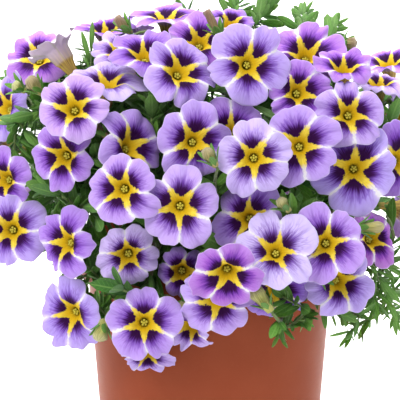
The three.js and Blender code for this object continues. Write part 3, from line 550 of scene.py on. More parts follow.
def arm_angle(normal, right, up):
    """The angle about a normal of a way across the photograph, from two linear equations."""
    x, y = across_normal(normal)
    det = (x @ RIGHT) * (y @ UP) - (y @ RIGHT) * (x @ UP)
    a = (right * (y @ UP) - up * (y @ RIGHT)) / det
    b = (up * (x @ RIGHT) - right * (x @ UP)) / det
    return math.atan2(b, a)


def around(count, start=0.0):
    """Even turns round a circle, from a share of a step on."""
    return 2 * math.pi * (np.arange(count) + start) / count


def spokes(turns, x, y):
    """Ways at turns between two axes: the cosine times the one plus the sine times the other."""
    return np.cos(turns)[..., None] * x + np.sin(turns)[..., None] * y


def seeded(seed):
    """Draws from 0 to 1: each state is the last times one constant plus another, cut to 32 bits."""
    state = seed
    while True:
        state = (state * 1664525 + 1013904223) % 4294967296
        yield state / 4294967296


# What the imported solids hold

def corners(node):
    """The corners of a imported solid, each once."""
    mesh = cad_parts[node].data
    places = np.empty(3 * len(mesh.vertices), np.float32)
    mesh.vertices.foreach_get("co", places)
    return np.unique(np.round(places.reshape(-1, 3).astype(float) / MM, 3), axis=0)


def has_corner(places, point):
    """Whether a corner lies at a point."""
    return np.linalg.norm(places - point, axis=1).min() < NEAR_ENOUGH


def has_ring(places, middle, radius, count):
    """Whether enough corners lie at a radius round a middle."""
    off = np.abs(np.linalg.norm(places - middle, axis=1) - radius)
    return np.count_nonzero(off < RING_NEAR) >= count


def polar(angle, place):
    """A point at an angle round the pot's axis, a distance out and a height above the rim."""
    out, rise = place
    return np.array((out * math.cos(angle), out * math.sin(angle), POT_HEIGHT + rise))


def branch_paths(index, swing):
    """The three branches of a shoot, as the part's source has them."""
    angle = 2 * math.pi * (index + 0.5) / SHOOTS
    crown = SOIL_EDGE_Z + SOIL_MOUND + STEM_RISE - POT_HEIGHT
    crotch = polar(angle, CROTCH)
    elbow = polar(angle, ELBOW)
    root = polar(angle, (STEM_RING, crown - HOLE_DEPTH))
    collar = polar(angle, (STEM_RING, crown))
    return (
        [root, collar, crotch, elbow, polar(angle + swing, ARM_END)],
        [crotch] + [polar(angle + swing, place) for place in RISING],
        [elbow] + [polar(angle + swing, place) for place in HANGING],
    )


def rod_rings(path, radii, sides):
    """Rings of points round a path, each turned on a little, with an axis carried along it."""
    across = FIRST_AXIS
    rings = []
    for i, point in enumerate(path):
        along = unit(path[min(i + 1, len(path) - 1)] - path[max(i - 1, 0)])
        across = unit(across - along * (across @ along))
        turns = around(sides) + i * RING_TWIST
        rings.append(point + radii[i] * spokes(turns, across, np.cross(along, across)))
    return rings


def ring_error(places, ring):
    """The mean distance from a ring's points to the nearest corners."""
    return np.linalg.norm(ring[:, None] - places[None], axis=2).min(axis=1).mean()


class Shoot:
    """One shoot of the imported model: its corners, its branches and the places for stalks."""

    def __init__(self, index):
        self.node = f"shoot_{index + 1}"
        self.places = corners(self.node)
        self.branches = []
        anchors = []
        for branch in range(3):
            tries = []
            for swing in SWINGS:
                path = branch_paths(index, swing)[branch]
                radii = [STEM_RADIUS * (1 - STEM_TAPER * i) for i in range(len(path))]
                rings = rod_rings(path, radii, STEM_SIDES)
                tries.append((sum(ring_error(self.places, ring) for ring in rings[-2:]), path))
            error, path = min(tries, key=lambda one: one[0])
            if branch and error > BRANCH_NEAR:
                continue
            self.branches.append(path)
            for i in range(2 if branch == 0 else 1, len(path)):
                count = int(np.linalg.norm(path[i] - path[i - 1]) // ANCHOR_STEP)
                for k in range(1, count + 1):
                    anchors.append(path[i - 1] + (path[i] - path[i - 1]) * (k / (count + ANCHOR_MARGIN)))
        self.anchors = np.array(anchors)

    def find_stalk(self, end, direction):
        """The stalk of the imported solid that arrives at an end: of all the curves that the rule tries, the
        one whose middle has a ring of corners round it. Returns the four points of its curve."""
        near = np.argsort(np.linalg.norm(self.anchors - end, axis=1), kind="stable")[:ANCHOR_TRIES]
        starts = self.anchors[near]
        side, over = across_normal(direction)
        foot = end - direction * CUP_LENGTH
        best = (math.inf, None, None)
        for bow in STALK_BOWS:
            for lead_length in STALK_LEADS:
                for turn in BOW_TURNS if bow else (0,):
                    sway = side * math.cos(turn) + over * math.sin(turn)
                    lead = foot - direction * lead_length + sway * (LEAD_SHARE * bow)
                    early = starts + (lead - starts) * EARLY_SHARE + sway * bow
                    middle = (starts + 3 * early + 3 * lead + foot) / 8
                    gaps = np.linalg.norm(middle[:, None] - self.places[None], axis=2)
                    off = np.partition(np.abs(gaps - STALK_RADIUS), 2, axis=1)[:, 2]
                    k = int(off.argmin())
                    if off[k] < best[0]:
                        best = (off[k], near[k], np.array((starts[k], early[k], lead, foot)))
        error, anchor, curve = best
        if error < STALK_NEAR:
            self.anchors = np.delete(self.anchors, anchor, axis=0)
        return curve


def shoot_at(shoots, point):
    """The shoot whose turn round the pot's axis a point falls in."""
    angle = math.atan2(point[1], point[0]) % (2 * math.pi)
    return shoots[int(angle * SHOOTS / (2 * math.pi)) % SHOOTS]


def far_places(count, turned, scale):
    """Points spread evenly over the canopy's far side by equal turns, and the way each faces."""
    middle = point_at(CANOPY_PIXEL_X, CANOPY_PIXEL_Y, 0)
    for i in range(count):
        z = 1 - (2 * i + 1) / count
        ring = math.sqrt(1 - z * z)
        angle = i * TURN_STEP + turned
        way = np.array((ring * math.cos(angle), ring * math.sin(angle), z))
        point = way * FAR_RADII * scale
        behind = point @ NEARER < FAR_DEPTH + (CROWN_DEPTH if z > CROWN_FROM else 0)
        point = point + middle
        if (behind or not SEEN_LEFT <= point[0] <= SEEN_RIGHT) and point[2] > FAR_LOWEST:
            yield point, unit(way / FAR_RADII)


def bezier(curve, steps):
    """Points along a curve of four points: their sum weighted by the cubic Bernstein weights."""
    t = np.linspace(0, 1, steps)[:, None]
    return (
        (1 - t) ** 3 * curve[0] + 3 * t * (1 - t) ** 2 * curve[1]
        + 3 * t ** 2 * (1 - t) * curve[2] + t ** 3 * curve[3]
    )


class Plant:
    """Where each bloom, stalk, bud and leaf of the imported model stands, and the side shoots of the looks.
    A stem is its shoot, its kind, its path and the length and width that its extra leaves are a share
    of, or none where they have lengths of their own."""

    def __init__(self):
        self.shoots = [Shoot(index) for index in range(SHOOTS)]
        self.blooms = []
        self.far = []
        self.buds = []
        self.leaves = []
        self.stems = []
        self.calyces = []
        for shoot in self.shoots:
            for path in shoot.branches:
                self.stems.append((shoot, "branch", np.array(path), None))
        self.read_blooms()
        self.read_far_blooms()
        self.read_buds()
        self.read_twigs()
        self.grow_side_shoots()

    def add_stalk(self, end, direction, tail=None, leaf=None):
        """Reads the stalk that arrives at an end, with a straight tail where a twig goes on. leaf is the
        length and width that a twig's extra leaves are a share of."""
        shoot = shoot_at(self.shoots, end)
        curve = shoot.find_stalk(end, direction)
        path = np.vstack((bezier(curve, STALK_STEPS), [end] if tail is None else [end, tail]))
        self.stems.append((shoot, "twig" if tail is not None else "stalk", path, leaf))
        return shoot, curve

    def read_blooms(self):
        """The blooms of the photograph: turned as their table says, and standing where the corners are."""
        for name, x, y, arm_x, arm_y, across, turn, tilt, cup, tone, warm in BLOOMS:
            node = f"bloom_{name}"
            normal = facing(turn, tilt)
            angle = arm_angle(normal, arm_x - x, y - arm_y)
            u, v = across_normal(normal)
            arm = u * math.cos(angle) + v * math.sin(angle)
            places = corners(node)
            height = places @ normal
            end = places[height < height.min() + TUBE_END_NEAR].mean(axis=0)
            bloom = {
                "node": node, "origin": end + normal * TUBE_LENGTH, "normal": normal, "arm": arm,
                "radius": across / 2, "cup": cup, "tone": tone, "warm": warm,
            }
            self.blooms.append(bloom)
            end = bloom["origin"] - normal * (TUBE_LENGTH + CLEARANCE)
            shoot, _ = self.add_stalk(end, normal)
            self.calyces.append((shoot, end, normal))

    def read_far_blooms(self):
        """The blooms of the far side that the shoots carry: a corner lies at the throat of each."""
        draw = seeded(FAR_SEED)
        for point, normal in far_places(FAR_BLOOMS, FAR_BLOOM_TURN, 1):
            across = FAR_ACROSS + FAR_ACROSS_SPREAD * next(draw)
            cup = FAR_CUP_SPREAD * next(draw)
            spin = FAR_SPIN_SPREAD * next(draw)
            u, v = across_normal(normal)
            arm = u * math.cos(spin) + v * math.sin(spin)
            for k in range(FAR_TRIES):
                origin = point + normal * k
                end = origin - normal * (TUBE_LENGTH - FAR_OVERLAP)
                shoot = shoot_at(self.shoots, end)
                if has_corner(shoot.places, origin - normal * THROAT_DEPTH):
                    self.add_stalk(end, normal)
                    self.calyces.append((shoot, end, normal))
                    number = len(self.far)
                    self.far.append({
                        "shoot": shoot, "origin": origin, "normal": normal, "arm": arm,
                        "radius": across / 2, "cup": cup,
                        "tone": (FAR_TONE + GOLDEN_SHARE * number) % 1,
                        "warm": (FAR_WARMTH + FAR_WARMTH_STEP * number) % 1 + FAR_COLDEST,
                    })
                    break

    def read_buds(self):
        """The buds and spent tubes: the corners of each one's tip tell how far it was slid."""
        for foot_x, foot_y, tip_x, tip_y, thickness, lift, spent in BUDS:
            for k in range(BUD_TRIES):
                depth = canopy_depth(foot_x, foot_y) + lift + k
                foot = point_at(foot_x, foot_y, depth - BUD_TILT)
                tip = point_at(tip_x, tip_y, depth + BUD_TILT)
                shoot = shoot_at(self.shoots, foot)
                if has_ring(shoot.places, tip, BUD_TIP_SHARE * thickness, BUD_TIP_CORNERS):
                    direction = unit(tip - foot)
                    self.add_stalk(foot + direction * BUD_OVERLAP, direction)
                    self.buds.append((shoot, foot, tip, thickness, spent))
                    break

    def read_twigs(self):
        """The leafy twigs, of the photograph and of the far side."""
        draw = seeded(TWIG_SEED)
        for tip_x, tip_y, foot_x, foot_y, lift, length, width, youth in TWIGS:
            for shift in TWIG_SHIFTS:
                foot = point_at(foot_x, foot_y, canopy_depth(foot_x, foot_y) + lift + shift - TWIG_SINK)
                tip = point_at(tip_x, tip_y, canopy_depth(tip_x, tip_y) + lift + shift)
                if self.read_twig(foot, tip, length, width, youth, draw):
                    break
        for number, (point, normal) in enumerate(far_places(FAR_TWIGS, FAR_TWIG_TURN, FAR_TWIG_SCALE)):
            foot = point - normal * FAR_TWIG_LENGTH
            youth = FAR_YOUTH_LEAST + FAR_YOUTH_SPREAD * ((GOLDEN_SHARE * number) % 1)
            self.read_twig(foot, point, FAR_LEAF_LENGTH, FAR_LEAF_WIDTH, youth, draw)

    def grow_side_shoots(self):
        """The side shoots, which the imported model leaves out: each bends up from the nearest stem."""
        places = np.vstack([path for _, _, path, _ in self.stems])
        owners = [shoot for shoot, _, path, _ in self.stems for _ in path]
        for x, y, lift, length, width in SIDE_SHOOTS:
            tip = point_at(x, y, canopy_depth(x, y) + lift)
            nearest = int(np.argmin(np.linalg.norm(places - tip, axis=1)))
            foot = places[nearest]
            bend = (foot + tip) / 2 + UP * SIDE_SHOOT_BOW
            path = smooth_path(np.array((foot, bend, tip)), SIDE_SHOOT_STEPS)
            self.stems.append((owners[nearest], "twig", path, (length, width)))

    def read_twig(self, foot, tip, length, width, youth, draw):
        """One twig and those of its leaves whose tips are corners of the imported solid."""
        shoot = shoot_at(self.shoots, foot)
        if not has_ring(shoot.places, tip, TWIG_TIP_RADIUS, STALK_SIDES):
            return False
        direction = unit(tip - foot)
        _, curve = self.add_stalk(foot, direction, tip, (length, width))
        reach = np.linalg.norm(tip - foot)
        tail = [foot + direction * (share * reach + more) for share in WHORLS for more in (0, LEAF_THICKNESS)]
        path = [curve[0], bezier(curve, 3)[1], curve[3], foot] + tail + [tip]
        radii = [STALK_RADIUS] * 3 + [TWIG_RADIUS] * (1 + len(tail)) + [TWIG_TIP_RADIUS]
        rings = rod_rings(path, radii, STALK_SIDES)
        for whorl, share in enumerate(WHORLS):
            ring = len(path) - 1 - 2 * (len(WHORLS) - whorl)
            for side in range(STALK_SIDES):
                after = (side + 1) % STALK_SIDES
                low, high = rings[ring][[side, after]], rings[ring + 1][[after, side]]
                root = np.concatenate((low, high)).mean(axis=0)
                across = unit(low[1] - low[0])
                out = unit(np.cross(across, direction))
                lean = LEAF_LEAN + share * LEAF_LEAN_GAIN + LEAF_LEAN_SPREAD * next(draw)
                way = out * math.cos(lean) + direction * math.sin(lean)
                size = length * (LEAF_SIZE_LEAST + LEAF_SIZE_SPREAD * next(draw))
                size = size * (LEAF_FULL - LENGTH_LOSS * share)
                breadth = width * (LEAF_FULL - WIDTH_LOSS * share)
                face = np.cross(across, way)
                leaf_tip = root + way * size - face * (LEAF_DROOP * size)
                if has_corner(shoot.places, leaf_tip):
                    self.leaves.append((shoot, root, way, across, size, breadth, youth))
        return True


# Meshes

def tube_form(rings, sides):
    """The faces of a tube of rings that a point closes at each end. Corner 0 is the first point, and the
    rings follow. Each face corner also has its place across and along, for the piece's map."""
    col = np.arange(sides)
    after = (col + 1) % sides
    last = 1 + rings * sides
    top = last - sides
    first_fan = np.stack((np.zeros(sides, int), 1 + after, 1 + col), 1)
    last_fan = np.stack((top + col, top + after, np.full(sides, last)), 1)
    row = (np.arange(rings - 1) * sides)[:, None]
    quads = np.stack((row + 1 + col, row + 1 + after, row + 1 + sides + after, row + 1 + sides + col), 2)
    left, middle, right = col / sides, (col + 0.5) / sides, (col + 1) / sides
    across = (
        np.stack((middle, right, left), 1),
        np.broadcast_to(np.stack((left, right, right, left), 1), (rings - 1, sides, 4)),
        np.stack((left, right, middle), 1),
    )
    steps = np.arange(rings - 1)[:, None, None]
    high = np.broadcast_to(np.array((1, 1, 2, 2)), (rings - 1, sides, 4)) + steps
    ends = np.zeros((sides, 3))
    along = (ends + (0, 1, 1), high, ends + (rings, rings, rings + 1))
    return {
        "corners": last + 1,
        "loops": np.concatenate([part.ravel() for part in (first_fan, quads, last_fan)]),
        "sizes": np.concatenate((np.full(sides, 3), np.full((rings - 1) * sides, 4), np.full(sides, 3))),
        "across": np.concatenate([part.ravel() for part in across]),
        "along": np.concatenate([part.ravel() for part in along]).astype(int),
    }


class Pile:
    """A mesh in the making, out of batches of like tubes, each batch with one finish."""

    def __init__(self):
        self.batches = []
        self.corners = 0

    def add(self, first, rings, last, heights, slot, tone=0.0, warm=0.0):
        """Adds copies of a tube. rings is copies by rings by sides by 3, first and last close the ends,
        heights is the map's second number for each row of corners, and tone and warm colour each copy."""
        copies, count, sides, _ = rings.shape
        form = tube_form(count, sides)
        places = np.concatenate((first[:, None], rings.reshape(copies, -1, 3), last[:, None]), axis=1)
        start = self.corners + np.arange(copies)[:, None] * form["corners"]
        mapped = np.stack((form["across"], np.asarray(heights)[form["along"]]), 1)

        def each_corner(value):
            """A value of each copy, once for each of its corners."""
            return np.repeat(np.broadcast_to(np.asarray(value, float), (copies,)), form["corners"])

        self.batches.append({
            "places": places.reshape(-1, 3),
            "loops": (form["loops"][None] + start).ravel(),
            "sizes": np.tile(form["sizes"], copies),
            "map": np.tile(mapped, (copies, 1)),
            "slot": np.full(copies * len(form["sizes"]), slot),
            "tone": each_corner(tone),
            "warm": each_corner(warm),
        })
        self.corners += copies * form["corners"]

    def piece(self, name, materials):
        """The mesh as an object at the origin, in metres and smoothly shaded."""
        whole = {key: np.concatenate([batch[key] for batch in self.batches]) for key in self.batches[0]}
        mesh = bpy.data.meshes.new(name)
        mesh.vertices.add(len(whole["places"]))
        mesh.vertices.foreach_set("co", (whole["places"] * MM).astype(np.float32).ravel())
        mesh.loops.add(len(whole["loops"]))
        mesh.loops.foreach_set("vertex_index", whole["loops"].astype(np.int32))
        mesh.polygons.add(len(whole["sizes"]))
        starts = np.concatenate(((0,), np.cumsum(whole["sizes"])[:-1]))
        mesh.polygons.foreach_set("loop_start", starts.astype(np.int32))
        mesh.polygons.foreach_set("material_index", whole["slot"].astype(np.int32))
        mesh.polygons.foreach_set("use_smooth", np.ones(len(starts), bool))
        mesh.update(calc_edges=True)
        mesh.uv_layers.new(name="petal_map").data.foreach_set("uv", whole["map"].astype(np.float32).ravel())
        for key in ("tone", "warm"):
            numbers = mesh.attributes.new(key, "FLOAT", "POINT")
            numbers.data.foreach_set("value", whole[key].astype(np.float32))
        mesh.validate()
        for material in materials:
            mesh.materials.append(material)
        piece = bpy.data.objects.new(name, mesh)
        bpy.context.scene.collection.objects.link(piece)
        return piece


def finish_piece(piece, node):
    """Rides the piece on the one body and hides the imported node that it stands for."""
    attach(piece, "root")
    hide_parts(node)


def circle(out, turn, height):
    """Points round an axis: the distance out times the cosine and the sine of the turn, at a height."""
    return np.stack(np.broadcast_arrays(out * np.cos(turn), out * np.sin(turn), height), -1)


def turned(profile, sides, rib=1):
    """Rings of a shape turned about an axis, from a profile of distances out and heights: each point is
    carried round a circle at its height, or round the circle times a rib."""
    out, height = np.array(profile, float).T[..., None]
    return circle(out * rib, around(sides), height)


def smooth_path(path, steps):
    """A path through given points: between two of them, the cubic whose slopes are half the span of the
    neighbours, which is the Catmull-Rom rule."""
    ends = np.vstack((2 * path[0] - path[1], path, 2 * path[-1] - path[-2]))
    t = (np.arange(steps) / steps)[:, None]
    spans = []
    for a, b, c, d in zip(ends, ends[1:], ends[2:], ends[3:]):
        square, cube = 2 * a - 5 * b + 4 * c - d, 3 * b - a - 3 * c + d
        spans.append(0.5 * (2 * b + (c - a) * t + square * t ** 2 + cube * t ** 3))
    return np.vstack(spans + [path[-1:]])


def bloom_rings(bloom, columns, rows, seed):
    """A bloom's closed surface about its own axis, from the tube's end out along the backs, over the rim
    and in to the throat. Out from the mouth, a row is the mouth's circle blended into the lobed outline.
    The outline is round but for a notch at each arm and a small one in the middle of each lobe. The height
    is a flare from the mouth to the middle of the petals and a straight run to the rim, plus a tilt of
    each lobe, waves round the rim, cheeks on both sides of each lobe's middle, a groove along that middle
    and a ridge along each arm. Across a lobe, side runs from -1 to 1, and its size is the fold: 1 at an
    arm and 0 midway between two. Returns the rings and the map's mark for each row."""
    rng = np.random.default_rng(seed)
    radius, cup = bloom["radius"], bloom["cup"]
    turn = around(columns)
    place = turn * ARMS / (2 * math.pi)
    lobe = place.astype(int) % ARMS
    side = place % 1 * 2 - 1
    fold = np.abs(side)
    degrees = fold * 180 / ARMS
    inner = 1 - fold ** 2
    notch = rng.uniform(*NOTCH_DEPTHS, ARMS)
    notch = np.where(side < 0, notch[lobe], notch[(lobe + 1) % ARMS])
    dent = rng.uniform(*DENT_DEPTHS, ARMS)[lobe]
    outline = 1 + rng.uniform(*LOBE_GROWTHS, ARMS)[lobe] * inner
    outline = outline - notch * np.clip((degrees - NOTCH_FROM) / NOTCH_SPAN, 0, 1) ** NOTCH_POWER
    outline = outline - dent * np.exp(-(degrees / DENT_SPAN) ** 2)
    tilts = rng.uniform(*LOBE_TILTS, ARMS)[lobe]
    leans = rng.uniform(*LOBE_LEANS, ARMS)[lobe]
    waves = [(rng.uniform(*WAVE_HEIGHTS), count, rng.uniform(*PHASES)) for count in WAVE_COUNTS]
    ruffle = sum(height * np.sin(count * turn + phase) for height, count, phase in waves)
    wobble = 1
    for height, count in WOBBLES:
        wobble = wobble + height * np.sin(turn * count + rng.uniform(*PHASES))
    middle = MID_RISE + MID_CUP_SHARE * cup
    curl = rng.uniform(*RIM_CURLS)
    uneven = sum(
        shift * (np.sin(count * turn + phase) - math.sin(phase))
        for shift, count, phase in zip(rng.uniform(*FOLD_SHIFTS, 3), (1, 2, 3), rng.uniform(*PHASES, 3)))
    swirl = SWIRL * np.sin(turn * rng.integers(1, 4) + rng.uniform(*PHASES))
    swirl = swirl + rng.uniform(-SWIRL_SPREAD, SWIRL_SPREAD)

    def limb(out, sunk):
        """Rings at shares of the way from the mouth to the rim, sunk by the sheet's thickness or not."""
        q = np.asarray(out)[:, None]
        reach = MOUTH_RADIUS + (radius * outline * wobble - MOUTH_RADIUS) * q
        share = reach / radius
        mouth = MOUTH_RADIUS / radius
        near = np.clip((share - mouth) / (MID_SHARE - mouth), 0, 1)
        far = np.clip((share - MID_SHARE) / (1 - MID_SHARE), 0, 1)
        height = -MOUTH_SINK + (middle + MOUTH_SINK) * (1 - (1 - near) ** 2) + (cup - middle) * far
        height = height - FUNNEL_DEPTH * (1 - near) ** 2
        height = height + (tilts + leans * side) * q ** 2 * inner
        curled = curl * np.clip(q - CURL_FROM, 0, 1) ** 2 * CURL_GAIN * (1 - fold ** 4)
        height = height + ruffle * q ** 3 - curled
        height = height + CHEEK_HEIGHT * q * np.sin(math.pi * fold) ** CHEEK_POWER
        height = height - GROOVE_DEPTH * q * np.exp(-(degrees / GROOVE_SPAN) ** 2)
        ridge = RIDGE_HEIGHT * np.exp(-((180 / ARMS - degrees) / RIDGE_SPAN) ** 2)
        height = height + ridge * np.sin(math.pi * np.clip(q, 0, 1)) ** RIDGE_POWER
        height = height - sunk * (PETAL_SHEET + (PETAL_EDGE - PETAL_SHEET) * q)
        return circle(reach, turn + uneven * np.clip(q * 2, 0, 1) + swirl * q ** 2, height)

    tube = turned(TUBE_PROFILE, columns, 1 + TUBE_RIB * np.cos(ARMS * turn))
    throat = turned(THROAT_PROFILE, columns)
    back = np.linspace(BACK_FROM, 1, rows // 2)
    front = np.linspace(1, 0, rows)
    rings = np.concatenate((tube, limb(back, 1), limb(front, 0), throat))
    heights = np.concatenate((
        (END_MARK,), np.linspace(*TUBE_MARKS, len(tube)), RIM_MARK + BACK_GAIN * (1 - back),
        MOUTH_MARK + (RIM_MARK - MOUTH_MARK) * front, np.linspace(*THROAT_MARKS, len(throat)), (0.0,),
    ))
    return rings, heights


def posed(points, bloom):
    """Points about a bloom's own axis, placed: the sum of its three axes times their numbers."""
    axes = np.stack((bloom["arm"], np.cross(bloom["normal"], bloom["arm"]), bloom["normal"]))
    return points @ axes + bloom["origin"]


def add_bloom(pile, bloom, columns, rows, seed):
    """Adds a bloom, with five anthers and a stigma in its throat as small round beads."""
    rings, heights = bloom_rings(bloom, columns, rows, seed)
    ends = posed(np.array(((0, 0, -TUBE_LENGTH), (0, 0, -THROAT_DEPTH))), bloom)
    pile.add(ends[:1], posed(rings, bloom)[None], ends[1:], heights, 0, bloom["tone"], bloom["warm"])
    anthers = circle(ANTHER_RING, around(ARMS, 0.5), ANTHER_HEIGHT)
    middles = np.vstack((anthers, ((0, 0, STIGMA_HEIGHT),)))
    sizes = np.array([ANTHER_RADIUS] * ARMS + [STIGMA_RADIUS])
    add_beads(pile, posed(middles, bloom), sizes, 1)


def add_beads(pile, middles, sizes, slot, tone=0.0):
    """Adds round beads, each a ball of three rings of six: circles whose radius and height are a sine and
    a cosine."""
    steps = (np.array((0.25, 0.5, 0.75)) * math.pi)[:, None]
    ball = circle(np.sin(steps), around(BEAD_SIDES), -np.cos(steps))
    rings = middles[:, None, None] + ball[None] * sizes[:, None, None, None]
    up = np.array((0, 0, 1.0)) * sizes[:, None]
    pile.add(middles - up, rings, middles + up, np.linspace(0, 1, 5), slot, tone)


def add_leaves(pile, root, way, side, length, width, slot, tone, warm, stations=7, curve=0.1, keel=0.3):
    """Adds leaves. Across a leaf, a flat section with thin edges is folded up along its middle into a
    keel. Its half width along the leaf is a skewed sine, and its middle line runs along the way and bends
    up with the square of the distance."""
    t = np.linspace(*LEAF_ENDS, stations)
    half = np.sin(math.pi * t ** LEAF_SKEW) ** LEAF_FULLNESS
    upper = np.cross(way, side)
    curve = np.broadcast_to(curve, (len(way),))
    length, width, curve = (np.asarray(one, float)[:, None, None, None] for one in (length, width, curve))
    broad = half[None, :, None, None] * width / 2
    out, face = (part[None, None, :, None] for part in np.array(LEAF_SECTION).T)
    t = t[None, :, None, None]
    root, way, side, upper = (part[:, None, None] for part in (root, way, side, upper))
    thick = LEAF_SHEET + LEAF_SHEET_GAIN * width * (1 - t)
    centre = root + way * (length * t) + upper * (curve * length * t ** 2)
    lift = keel * broad * np.abs(out) + thick * face * 0.5 * (1 - LEAF_SHEET_LOSS * t)
    rings = centre + side * (broad * out) + upper * lift
    first = root[:, 0, 0]
    last = (root + way * length + upper * (curve * length))[:, 0, 0]
    pile.add(first, rings, last, np.linspace(0, 1, stations + 2), slot, tone, warm)


def add_stem(pile, path, thick, thin, tone):
    """Adds a stem: rings round a path, which narrow evenly from one radius to another, closed at its ends."""
    rings = np.array(rod_rings(path, np.linspace(thick, thin, len(path)), STEM_LOOK_SIDES))
    pile.add(path[:1], rings[None], path[-1:], np.linspace(0, 1, len(path) + 2), 0, tone)


# Shader nodes

def linear(red, green, blue):
    """A screen colour from 0 to 255 as the colour that shaders take: a power law with a straight foot."""
    parts = (c / 255 for c in (red, green, blue))
    return tuple(c / 12.92 if c <= 0.04045 else ((c + 0.055) / 1.055) ** 2.4 for c in parts) + (1.0,)


def opaque(colour):
    """A user's colour as a shader takes it, with nothing shining through."""
    return tuple(colour) + (1.0,)


# What is made once and shared: the shader groups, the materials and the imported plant
made = {}


def shared(name, make, *given):
    """What a function makes, made the first time it is asked for."""
    if name not in made:
        made[name] = make(*given)
    return made[name]


def arithmetic(operation, swapped=False):
    """A math node written as plain arithmetic on a wire and a wire or number, in that order or swapped."""
    def apply(self, other=0.0):
        a, b = (other, self) if swapped else (self, other)
        return self.nodes.math(operation, a, b)
    return apply


class Wire:
    """The output of a node. Arithmetic on wires and numbers puts the math nodes for it into the tree."""
    __add__ = __radd__ = arithmetic("ADD")
    __sub__ = arithmetic("SUBTRACT")
    __rsub__ = arithmetic("SUBTRACT", True)
    __mul__ = __rmul__ = arithmetic("MULTIPLY")
    __truediv__ = arithmetic("DIVIDE")
    __rtruediv__ = arithmetic("DIVIDE", True)
    __pow__ = arithmetic("POWER")
    __abs__ = arithmetic("ABSOLUTE")

    def __init__(self, nodes, socket):
        self.nodes = nodes
        self.socket = socket


class Nodes:
    """Puts nodes into a shader tree. A socket takes a number, a colour or a wire."""

    def __init__(self, tree):
        self.tree = tree

    def feed(self, inputs, sockets):
        """Links wires to inputs, and sets plain numbers and colours on them."""
        for key, value in dict(sockets).items():
            if isinstance(value, Wire):
                self.tree.links.new(value.socket, inputs[key])
            else:
                inputs[key].default_value = value

    def node(self, kind, sockets=(), **settings):
        """A node with its settings and its sockets fed."""
        node = self.tree.nodes.new(kind)
        for key, value in settings.items():
            setattr(node, key, value)
        self.feed(node.inputs, sockets)
        return node

    def wire(self, kind, sockets=(), output=0, **settings):
        """The wire from one output of a new node."""
        return Wire(self, self.node(kind, sockets, **settings).outputs[output])

    def math(self, operation, a, b=0.0, clamp=False):
        """A sum, product or other operation on two numbers."""
        return self.wire("ShaderNodeMath", {0: a, 1: b}, operation=operation, use_clamp=clamp)

    def share(self, value, factor):
        """A product, kept between 0 and 1."""
        return self.math("MULTIPLY", value, factor, clamp=True)

    def fraction(self, value):
        """The part of a number after its point."""
        return self.math("FRACT", value)

    def mix(self, factor, a, b):
        """One colour blended into another."""
        return self.wire("ShaderNodeMix", {0: factor, 6: a, 7: b}, 2, data_type="RGBA")

    def rise(self, value, low, high, top=1.0):
        """A smooth step from 0 at low to top at high."""
        sockets = {"Value": value, "From Min": low, "From Max": high, "To Max": top}
        return self.wire("ShaderNodeMapRange", sockets, interpolation_type="SMOOTHSTEP")

    def vector(self, x, y):
        """A vector of two numbers."""
        return self.wire("ShaderNodeCombineXYZ", {0: x, 1: y})

    def noise(self, vector, scale, detail=2.0, rough=0.5):
        """Cloudy noise from 0 to 1 at a vector."""
        return self.wire(
            "ShaderNodeTexNoise", {"Vector": vector, "Scale": scale, "Detail": detail, "Roughness": rough})

    def attribute(self, name):
        """A number that the mesh carries."""
        return self.wire("ShaderNodeAttribute", output="Fac", attribute_name=name)

    def object_place(self):
        """The place on the object."""
        return self.wire("ShaderNodeTexCoord", output="Object")

    def parts(self, vector):
        """The three numbers of a vector."""
        return [Wire(self, output) for output in self.node("ShaderNodeSeparateXYZ", {0: vector}).outputs]

    def map(self):
        """The two numbers of the piece's own map: the share of the way round it, and the one along it."""
        return self.parts(self.wire("ShaderNodeUVMap", uv_map="petal_map"))[:2]

    def mottle(self, size):
        """Fine mottling of a size in millimetres."""
        return self.wire("ShaderNodeGroup", {"Size": size}, node_tree=shared("mottle", mottle_group))

    def veins(self, across, along, count, stretch, width):
        """Veins along the growth, more of them the higher the count."""
        sockets = {"Across": across, "Along": along, "Count": count, "Stretch": stretch, "Width": width}
        return self.wire("ShaderNodeGroup", sockets, node_tree=shared("veins", vein_group))

    def dress(self, shader, colour, height, strength, depth):
        """Feeds a shader with a colour, and with a normal that a relief of a depth in metres bends."""
        sockets = {"Height": height, "Strength": strength, "Distance": depth}
        self.feed(shader, {"Base Color": colour, "Normal": self.wire("ShaderNodeBump", sockets)})


def new_group(name, **given):
    """A group with one mask as its output. Returns it, its nodes and a wire from each number it is given."""
    group = bpy.data.node_groups.new(name, "ShaderNodeTree")
    for key, default in given.items():
        group.interface.new_socket(key, in_out="INPUT", socket_type="NodeSocketFloat").default_value = default
    group.interface.new_socket("Mask", in_out="OUTPUT", socket_type="NodeSocketFloat")
    nodes = Nodes(group)
    outputs = nodes.node("NodeGroupInput").outputs
    return [group, nodes] + [Wire(nodes, outputs[key]) for key in given]


def vein_group():
    """A group that draws veins: lines where noise, stretched along the growth, crosses its middle."""
    group, nodes, across, along, count, stretch, width = new_group(
        "veins", Across=0.0, Along=0.0, Count=60.0, Stretch=2.0, Width=0.05)
    off = abs(nodes.noise(nodes.vector(across * count, along * stretch), 1.0, 1.0) - 0.5)
    nodes.node("NodeGroupOutput", {"Mask": nodes.math("SUBTRACT", 1.0, off / width, clamp=True)})
    return group


def mottle_group():
    """A group that gives fine mottling, of a size in millimetres, on Object coordinates."""
    group, nodes, size = new_group("mottle", Size=1.0)
    nodes.node("NodeGroupOutput", {"Mask": nodes.noise(nodes.object_place(), 1000.0 / size, 3.0, 0.6)})
    return group


# Materials

